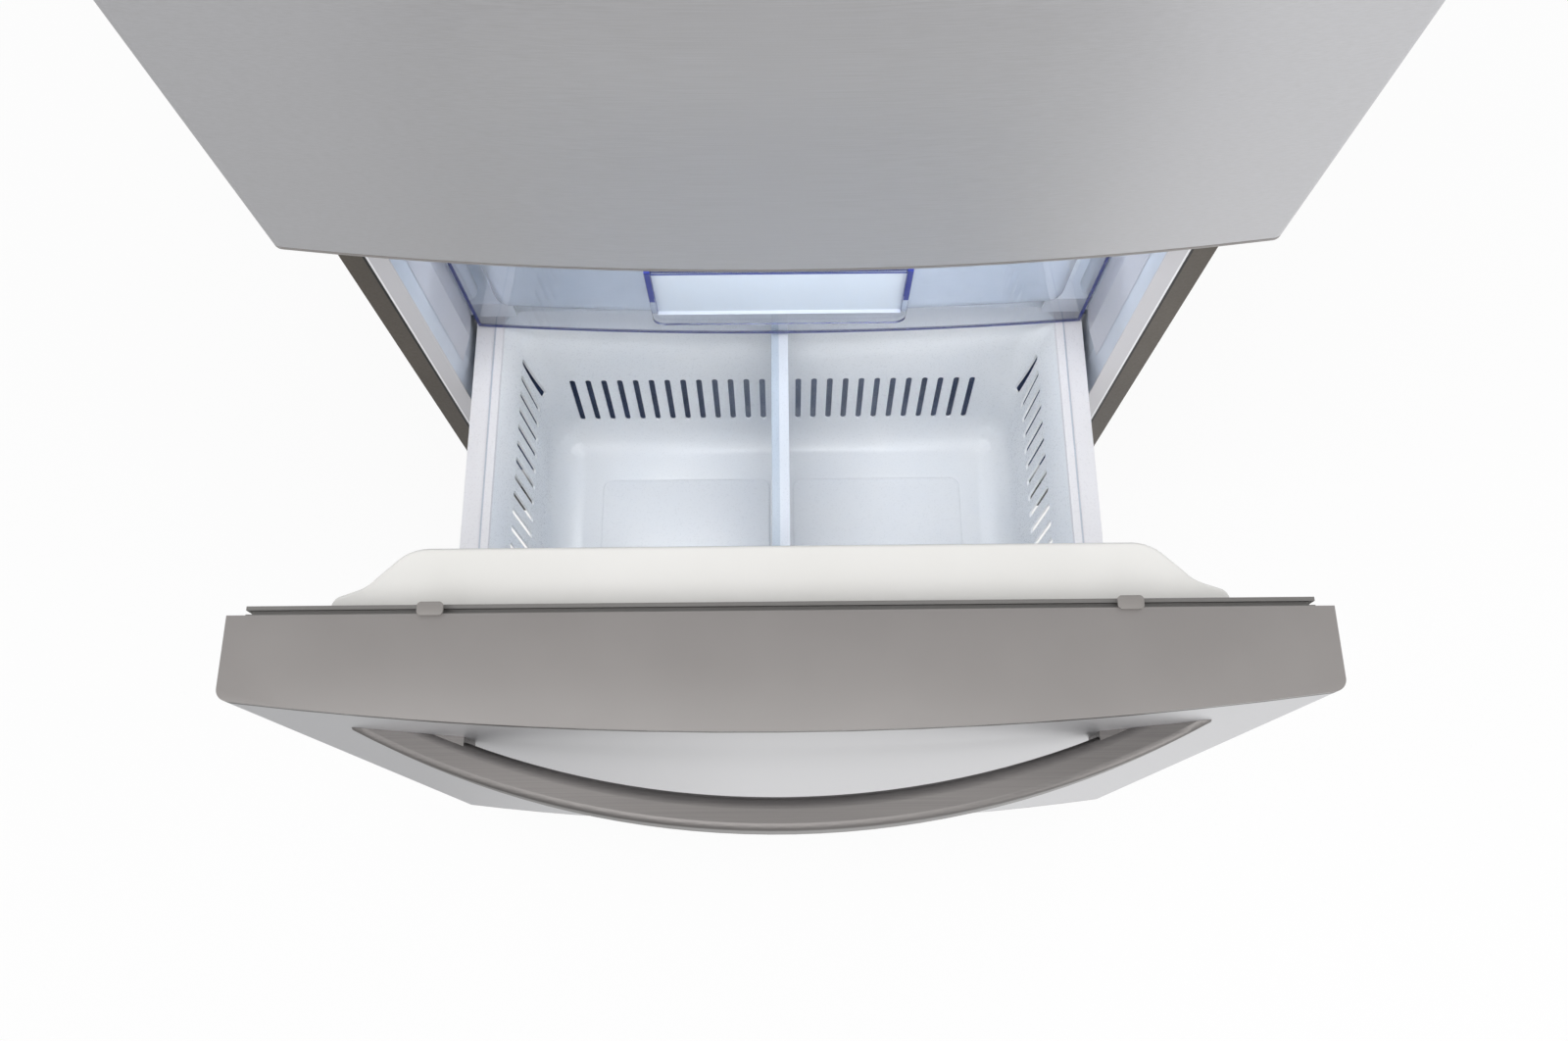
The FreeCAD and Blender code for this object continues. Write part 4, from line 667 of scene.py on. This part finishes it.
def plastics():
    """Looks of the opaque plastic, rubber, foam and painted pieces."""
    return {
        "cap": moulded(
            "cap_plastic", srgb(136, 132, 130), srgb(144, 140, 138), roughness=0.36, scale=1200.0),
        "painted": textured_paint(),
        "painted_case": flanged_paint(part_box("outer_case")),
        "liner": moulded(
            "white_plastic", srgb(228, 233, 240), srgb(236, 240, 245), roughness=0.22, scale=160.0),
        "shaded_liner": shaded_liner(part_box("freezer_liner")),
        # The freezer liner's white plastic, painted a shade greyer for the steps in its walls
        "step": moulded(
            "step_plastic", srgb(190, 193, 203), srgb(198, 200, 209), roughness=0.22, scale=160.0),
        "dike": moulded(
            "dike_plastic", srgb(236, 235, 231), srgb(241, 240, 237), roughness=0.2, scale=120.0),
        "foam": moulded(
            "foam", srgb(214, 190, 134), srgb(232, 212, 160), roughness=0.9, scale=300.0,
            depth=0.0004),
        "gasket": moulded(
            "gasket_rubber", srgb(120, 118, 116), srgb(131, 129, 127), roughness=0.55, scale=700.0),
        "clip": moulded("clip_plastic", srgb(134, 130, 127), srgb(143, 139, 136), roughness=0.4),
        "rack": moulded("rack_plastic", srgb(205, 208, 212), srgb(216, 219, 223), roughness=0.4),
        "enamel": moulded(
            "black_enamel", srgb(24, 24, 26), srgb(34, 34, 36), roughness=0.3, scale=300.0,
            depth=0.00005),
        "dark": moulded(
            "dark_plastic", srgb(52, 51, 51), srgb(62, 61, 60), roughness=0.45, scale=800.0),
    }


def clear_looks():
    """Looks of the pieces that let light through or give it."""
    return {
        "basket": frosted_basket(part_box("basket")),
        "divider": shaded_divider(),
        "clear_front": blue_edged_front(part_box("inner_drawer_front")),
        "tray": frosted_tray(),
        "clear": clear_plastic("clear_plastic", roughness=0.03, density=6.0),
        "glass": clear_moulding(
            "shelf_glass", srgb(244, 252, 249), roughness=0.02, density=10.0,
            shade=srgb(110, 200, 170)),
        "lens": lit_lens(),
    }


NODE_LOOKS = {
    "door_sheet": ("door_skin",),
    "drawer_sheet": ("drawer_skin",),
    "bar": ("drawer_handle",),
    "upright_bar": ("door_handle",),
    "cap": ("drawer_top_cap", "drawer_bottom_cap", "door_top_cap", "door_bottom_cap"),
    "painted": ("mullion_rail",),
    "painted_case": ("outer_case",),
    "liner": (
        "fridge_liner", "door_liner", "evaporator_cover", "air_tower", "shelf_edges",
        "inner_drawer_rails"),
    "shaded_liner": ("freezer_liner",),
    "dike": ("drawer_liner",),
    "foam": ("insulation", "door_core", "drawer_core"),
    "gasket": ("door_gasket", "drawer_gasket"),
    "clip": ("gasket_clips",),
    "basket": ("basket",),
    "divider": ("basket_divider",),
    "clear_front": ("inner_drawer_front",),
    "tray": ("inner_drawer_tray",),
    "clear": ("crisper_left", "crisper_right", "door_bins", "dairy_bin", "dairy_lid"),
    "glass": ("shelf_panes",),
    "zinc": (
        "slide_outer_members", "slide_middle_members", "drawer_rails", "upper_hinge",
        "middle_hinge"),
    "rack": ("gear_racks", "gear_shaft", "evaporator_fan", "condenser_fan"),
    "galvanised": ("back_panel", "base_frame", "rear_cover"),
    "enamel": ("compressor", "condenser_coil"),
    "aluminium": ("evaporator_coil", "condenser_fan_motor"),
    "dark": (
        "kick_grille", "hinge_cover", "drain_pan", "leg_left", "leg_right", "roller_left",
        "roller_right", "control_panel"),
    "lens": ("lamp_lenses",),
}


def dress_nodes(materials):
    """Give each solid its look."""
    for look, names in NODE_LOOKS.items():
        for name in names:
            nodes[name].data.materials.clear()
            nodes[name].data.materials.append(materials[look])


# Smoothing of the solids

def fair_faces():
    """Geometry nodes that shade small facets as one surface and keep real edges crisp."""
    group = bpy.data.node_groups.new("fair_faces", "GeometryNodeTree")
    group.interface.new_socket("Geometry", in_out="INPUT", socket_type="NodeSocketGeometry")
    group.interface.new_socket("Geometry", in_out="OUTPUT", socket_type="NodeSocketGeometry")
    start = group.nodes.new("NodeGroupInput")
    end = group.nodes.new("NodeGroupOutput")
    angle = group.nodes.new("GeometryNodeInputMeshEdgeAngle")
    sharp = group.nodes.new("FunctionNodeCompare")
    sharp.operation = "GREATER_THAN"
    sharp.inputs["B"].default_value = math.radians(SHARP_ANGLE)
    shade = group.nodes.new("GeometryNodeSetMeshNormal")
    shade.inputs["Remove Custom"].default_value = True
    shade.inputs["Face Sharpness"].default_value = False
    group.links.new(angle.outputs["Unsigned Angle"], sharp.inputs["A"])
    group.links.new(sharp.outputs["Result"], shade.inputs["Edge Sharpness"])
    group.links.new(start.outputs["Geometry"], shade.inputs["Mesh"])
    group.links.new(shade.outputs["Mesh"], end.inputs["Geometry"])
    return group


def soften(name, group, width):
    """Shade a solid's facets as one surface, and round its sharp edges if a width is given."""
    weld = nodes[name].modifiers.new("weld", "WELD")
    weld.merge_threshold = WELD_GAP
    if width:
        bevel = nodes[name].modifiers.new("bevel", "BEVEL")
        bevel.width = width
        bevel.segments = 2
        bevel.limit_method = "ANGLE"
        bevel.angle_limit = math.radians(SHARP_ANGLE)
    fair = nodes[name].modifiers.new("fair", "NODES")
    fair.node_group = group


def soften_nodes():
    """Smooth the solids that are listed with an edge width."""
    group = fair_faces()
    for name, width in EDGE_ROUNDS.items():
        soften(name, group, width)


# Pieces drawn only here

def add_piece(name, shape, material, body):
    """Turn a finished shape into a piece that rides on a body."""
    mesh = bpy.data.meshes.new(name)
    bmesh.ops.recalc_face_normals(shape, faces=shape.faces[:])
    shape.to_mesh(mesh)
    shape.free()
    mesh.materials.append(material)
    piece = bpy.data.objects.new(name, mesh)
    bpy.context.scene.collection.objects.link(piece)
    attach(piece, body)
    return piece


def rounded_plan(x, y, corner, inset=0.0):
    """The points of a rectangle with round corners, in order."""
    points = []
    middles = ((x[1], y[1], 0), (x[0], y[1], 90), (x[0], y[0], 180), (x[1], y[0], 270))
    for mid_x, mid_y, start in middles:
        to_x = mid_x - math.copysign(corner, mid_x - (x[0] + x[1]) / 2)
        to_y = mid_y - math.copysign(corner, mid_y - (y[0] + y[1]) / 2)
        for i in range(CORNER_STEPS + 1):
            turn = math.radians(start + 90 / CORNER_STEPS * i)
            reach = corner - inset
            points.append((to_x + reach * math.cos(turn), to_y + reach * math.sin(turn)))
    return points


def join_rows(shape, rows):
    """Close a stack of equal rows of points into a solid with a flat face at each end."""
    count = len(rows[0])
    for lower, upper in zip(rows, rows[1:]):
        for i in range(count):
            j = (i + 1) % count
            shape.faces.new((lower[i], lower[j], upper[j], upper[i]))
    shape.faces.new(rows[-1])
    shape.faces.new(list(reversed(rows[0])))


def add_heads(name, spots, axis, radius, height, material, body):
    """Pan heads with a dished socket, one at each spot, looking along an axis."""
    shape = bmesh.new()
    turn = Vector(axis).to_track_quat("Z", "Y").to_matrix().to_4x4()
    for spot in spots:
        place = Matrix.Translation(spot) @ turn
        rows = []
        for share, lift in HEAD_PROFILE:
            row = []
            for i in range(HEAD_SIDES):
                angle = math.radians(360 / HEAD_SIDES * i)
                reach = share * radius
                point = Vector((reach * math.cos(angle), reach * math.sin(angle), lift * height))
                row.append(shape.verts.new(place @ point))
            rows.append(row)
        join_rows(shape, rows)
    add_piece(name, shape, material, body)


def pressed_back(materials):
    """Back panel with a raised field inside a low border."""
    low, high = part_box("back_panel")
    back = high[1]
    shape = bmesh.new()
    rows = []
    for inset, y in (
            (0.0, low[1]), (0.0, back - PRESS_DEPTH), (BORDER, back - PRESS_DEPTH),
            (BORDER + PRESS_SLOPE, back)):
        plan = rounded_plan(
            (low[0] + inset, high[0] - inset), (low[2] + inset, high[2] - inset),
            max(inset / 2, PRESS_CORNER))
        rows.append([shape.verts.new((x, y, z)) for x, z in plan])
    join_rows(shape, rows)
    panel = add_piece("pressed_back_panel", shape, materials["galvanised"], "cabinet")
    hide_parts("back_panel")


def back_screws(materials):
    """Screws along the border of the back panel."""
    low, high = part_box("back_panel")
    seat = low[1] + PANEL_SCREW_SINK
    side = high[0] - BORDER / 2
    spots = []
    for i in range(SCREWS_UP):
        share = i / (SCREWS_UP - 1)
        level = low[2] + SCREW_END + (high[2] - low[2] - 2 * SCREW_END) * share
        spots += [(-side, seat, level), (side, seat, level)]
    for i in range(SCREWS_ACROSS):
        x = (i - 1) * side * SCREW_SPREAD
        spots += [(x, seat, low[2] + BORDER / 2), (x, seat, high[2] - BORDER / 2)]
    add_heads(
        "back_panel_screws", spots, (0, 1, 0), PANEL_SCREW_RADIUS, PANEL_SCREW_HEIGHT,
        materials["zinc"], "cabinet")


def hinge_screws(materials):
    """Two screws that hold the middle hinge to the rail behind it."""
    low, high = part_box("middle_hinge")
    seat = high[1] - HINGE_PLATE
    level = low[2] + HINGE_SCREW_LEVEL
    spots = [(low[0] + aside, seat, level) for aside in HINGE_SCREWS_ASIDE]
    add_heads(
        "middle_hinge_screws", spots, (0, -1, 0), HINGE_SCREW_RADIUS, HINGE_SCREW_HEIGHT,
        materials["zinc"], "cabinet")


def floor_panels(materials):
    """A slightly raised panel with a sloping edge on the basket floor beside the divider."""
    low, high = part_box("basket")
    floor = low[2] + BASKET_SKIN
    y = (low[1] + PANEL_FRONT, high[1] - PANEL_BACK)
    levels = (
        (0.0, floor - PANEL_SINK), (0.0, floor + PANEL_EDGE), (PANEL_SLOPE, floor + PANEL_RISE))
    for name, x in (("left", (-PANEL_OUTER, -PANEL_INNER)), ("right", (PANEL_INNER, PANEL_OUTER))):
        shape = bmesh.new()
        rows = []
        for inset, level in levels:
            plan = rounded_plan(x, y, PANEL_CORNER, inset)
            rows.append([shape.verts.new((a, b, level)) for a, b in plan])
        join_rows(shape, rows)
        add_piece("basket_floor_panel_" + name, shape, materials["basket"], "freezer_drawer")


def liner_steps(materials):
    """A ramped step in each side wall of the freezer, in front of the inner drawer's rails."""
    low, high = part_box("inner_drawer_rails")
    wall = high[0]
    root = wall + STEP_SINK
    start = low[1] - STEP_REACH
    end = low[1] - STEP_GAP
    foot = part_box("inner_drawer_front")[0][2] + STEP_FOOT
    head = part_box("freezer_liner")[1][2] - CEILING_SKIN
    for name, side in (("left", -1), ("right", 1)):
        shape = bmesh.new()
        rows = []
        for share, level in ((STEP_FOOT_SHARE, foot), (1.0, foot + STEP_RISE), (1.0, head)):
            face = wall - STEP_DEPTH * share
            plan = ((root, start), (face, start + STEP_RAMP), (face, end), (root, end))
            rows.append([shape.verts.new((side * x, y, level)) for x, y in plan])
        join_rows(shape, rows)
        add_piece("freezer_liner_step_" + name, shape, materials["step"], "cabinet")


# Stage

def make_camera():
    """The photograph's camera, fitted to the corners of the drawer and cabinet."""
    data = bpy.data.cameras.new("camera")
    data.sensor_width = SENSOR
    data.lens = SENSOR * FOCAL_PIXELS / PHOTO_WIDTH
    data.clip_start = NEAREST
    data.clip_end = FARTHEST
    camera = bpy.data.objects.new("camera", data)
    bpy.context.scene.collection.objects.link(camera)
    tilt = Matrix.Rotation(math.radians(90 - CAMERA_DOWN), 4, "X")
    roll = Matrix.Rotation(math.radians(CAMERA_ROLL), 4, "Z")
    camera.matrix_world = Matrix.Translation(CAMERA_SPOT) @ tilt @ roll
    bpy.context.scene.camera = camera


def seen_or_mirrored(tree):
    """One for rays from the camera and for rays that metal or glass sends on."""
    path = tree.nodes.new("ShaderNodeLightPath")
    return either(
        tree, path.outputs["Is Camera Ray"], path.outputs["Is Glossy Ray"],
        path.outputs["Is Transmission Ray"])


def dimmed_left(tree):
    """One for the camera, and less where metal mirrors the left of the floor."""
    path = tree.nodes.new("ShaderNodeLightPath")
    fade = mapped(tree, along(tree, "X"), DIM_START, DIM_END, 0.0, 1.0 - DIM_SHARE)
    lost = worked(tree, "MULTIPLY", fade, path.outputs["Is Glossy Ray"])
    return worked(tree, "SUBTRACT", 1.0, lost)


def make_floor():
    """White floor that takes soft shadows and looks white to the camera."""
    material, tree, shader = new_material(
        "studio_floor", (FLOOR_GREY, FLOOR_GREY, FLOOR_GREY, 1), FLOOR_ROUGHNESS)
    shader.inputs["Specular IOR Level"].default_value = 0.0
    glow = tree.nodes.new("ShaderNodeEmission")
    tree.links.new(dimmed_left(tree), glow.inputs["Strength"])
    share = worked(tree, "MULTIPLY", seen_or_mirrored(tree), FLOOR_GLOW)
    surface = blended(tree, share, shader.outputs["BSDF"], glow.outputs["Emission"])
    tree.links.new(surface, tree.nodes["Material Output"].inputs["Surface"])
    mesh = bpy.data.meshes.new("studio_floor")
    reach = FLOOR_SIZE / 2
    corners = [(-reach, -reach, 0), (reach, -reach, 0), (reach, reach, 0), (-reach, reach, 0)]
    mesh.from_pydata(corners, [], [(0, 1, 2, 3)])
    mesh.materials.append(material)
    floor = bpy.data.objects.new("studio_floor", mesh)
    bpy.context.scene.collection.objects.link(floor)


def make_world():
    """White surroundings that light the scene less than they show."""
    world = bpy.data.worlds.new("studio")
    world.use_nodes = True
    tree = world.node_tree
    soft = tree.nodes["Background"]
    soft.inputs["Color"].default_value = (1, 1, 1, 1)
    soft.inputs["Strength"].default_value = WORLD_LIGHT
    white = tree.nodes.new("ShaderNodeBackground")
    white.inputs["Color"].default_value = (1, 1, 1, 1)
    white.inputs["Strength"].default_value = WORLD_SEEN
    sky = blended(
        tree, seen_or_mirrored(tree), soft.outputs["Background"], white.outputs["Background"])
    tree.links.new(sky, tree.nodes["World Output"].inputs["Surface"])
    bpy.context.scene.world = world


def soft_lamp(name, spot, aim, size, power, colour=(1, 1, 1), beam=180):
    """A rectangular lamp aimed at a point, with the width of its beam in degrees."""
    data = bpy.data.lights.new(name, "AREA")
    data.spread = math.radians(beam)
    data.shape = "RECTANGLE"
    data.size = size[0]
    data.size_y = size[1]
    data.energy = power
    data.color = colour
    lamp = bpy.data.objects.new(name, data)
    bpy.context.scene.collection.objects.link(lamp)
    turn = (Vector(aim) - Vector(spot)).to_track_quat("-Z", "Y").to_matrix().to_4x4()
    lamp.matrix_world = Matrix.Translation(spot) @ turn


def light_studio():
    """Lamps round the object."""
    soft_lamp("lamp_above", (-0.4, -1.5, 3.2), aim=(0, -0.3, 0.6), size=(2.4, 2.0), power=32)
    soft_lamp("lamp_right", (1.9, -2.2, 1.7), aim=(0.2, -0.4, 0.7), size=(1.2, 1.6), power=15)
    soft_lamp("lamp_left", (-2.4, -1.6, 2.0), aim=(0, 0, 0.8), size=(1.6, 2.0), power=2)
    soft_lamp("lamp_rear", (0.8, 2.8, 2.6), aim=(0, 0.3, 0.8), size=(2.0, 2.0), power=12)


def light_compartments():
    """Lamps inside the freezer and the fridge."""
    soft_lamp(
        "lamp_freezer", (0.1, 0.16, 0.715), aim=(0.1, 0.16, 0.4), size=(0.4, 0.2), power=1.8,
        colour=COLD)
    for name, x, power in (("lamp_basket_left", -0.16, 0.17), ("lamp_basket_right", 0.16, 0.06)):
        soft_lamp(
            name, (x, -0.05, 0.715), aim=(x, -0.23, 0.15), size=(0.18, 0.1), power=power,
            colour=PALE, beam=110)
    soft_lamp(
        "lamp_front", (0.04, -0.14, 0.722), aim=(0.04, -0.045, 0.4), size=(0.44, 0.05), power=0.52,
        colour=PALE, beam=130)
    soft_lamp(
        "lamp_fridge", (0, 0.0, 1.63), aim=(0, 0.35, 1.15), size=(0.5, 0.08), power=0.8,
        colour=PALE)
    soft_lamp(
        "lamp_shelves", (0, 0.03, 1.3), aim=(0, 0.4, 1.1), size=(0.5, 0.5), power=0.8,
        colour=PALE)


bpy.context.scene.view_settings.view_transform = "Standard"
make_camera()
make_world()
make_floor()
light_studio()
light_compartments()
looks = {**metals(), **plastics(), **clear_looks()}
dress_nodes(looks)
soften_nodes()
floor_panels(looks)
liner_steps(looks)
pressed_back(looks)
back_screws(looks)
hinge_screws(looks)
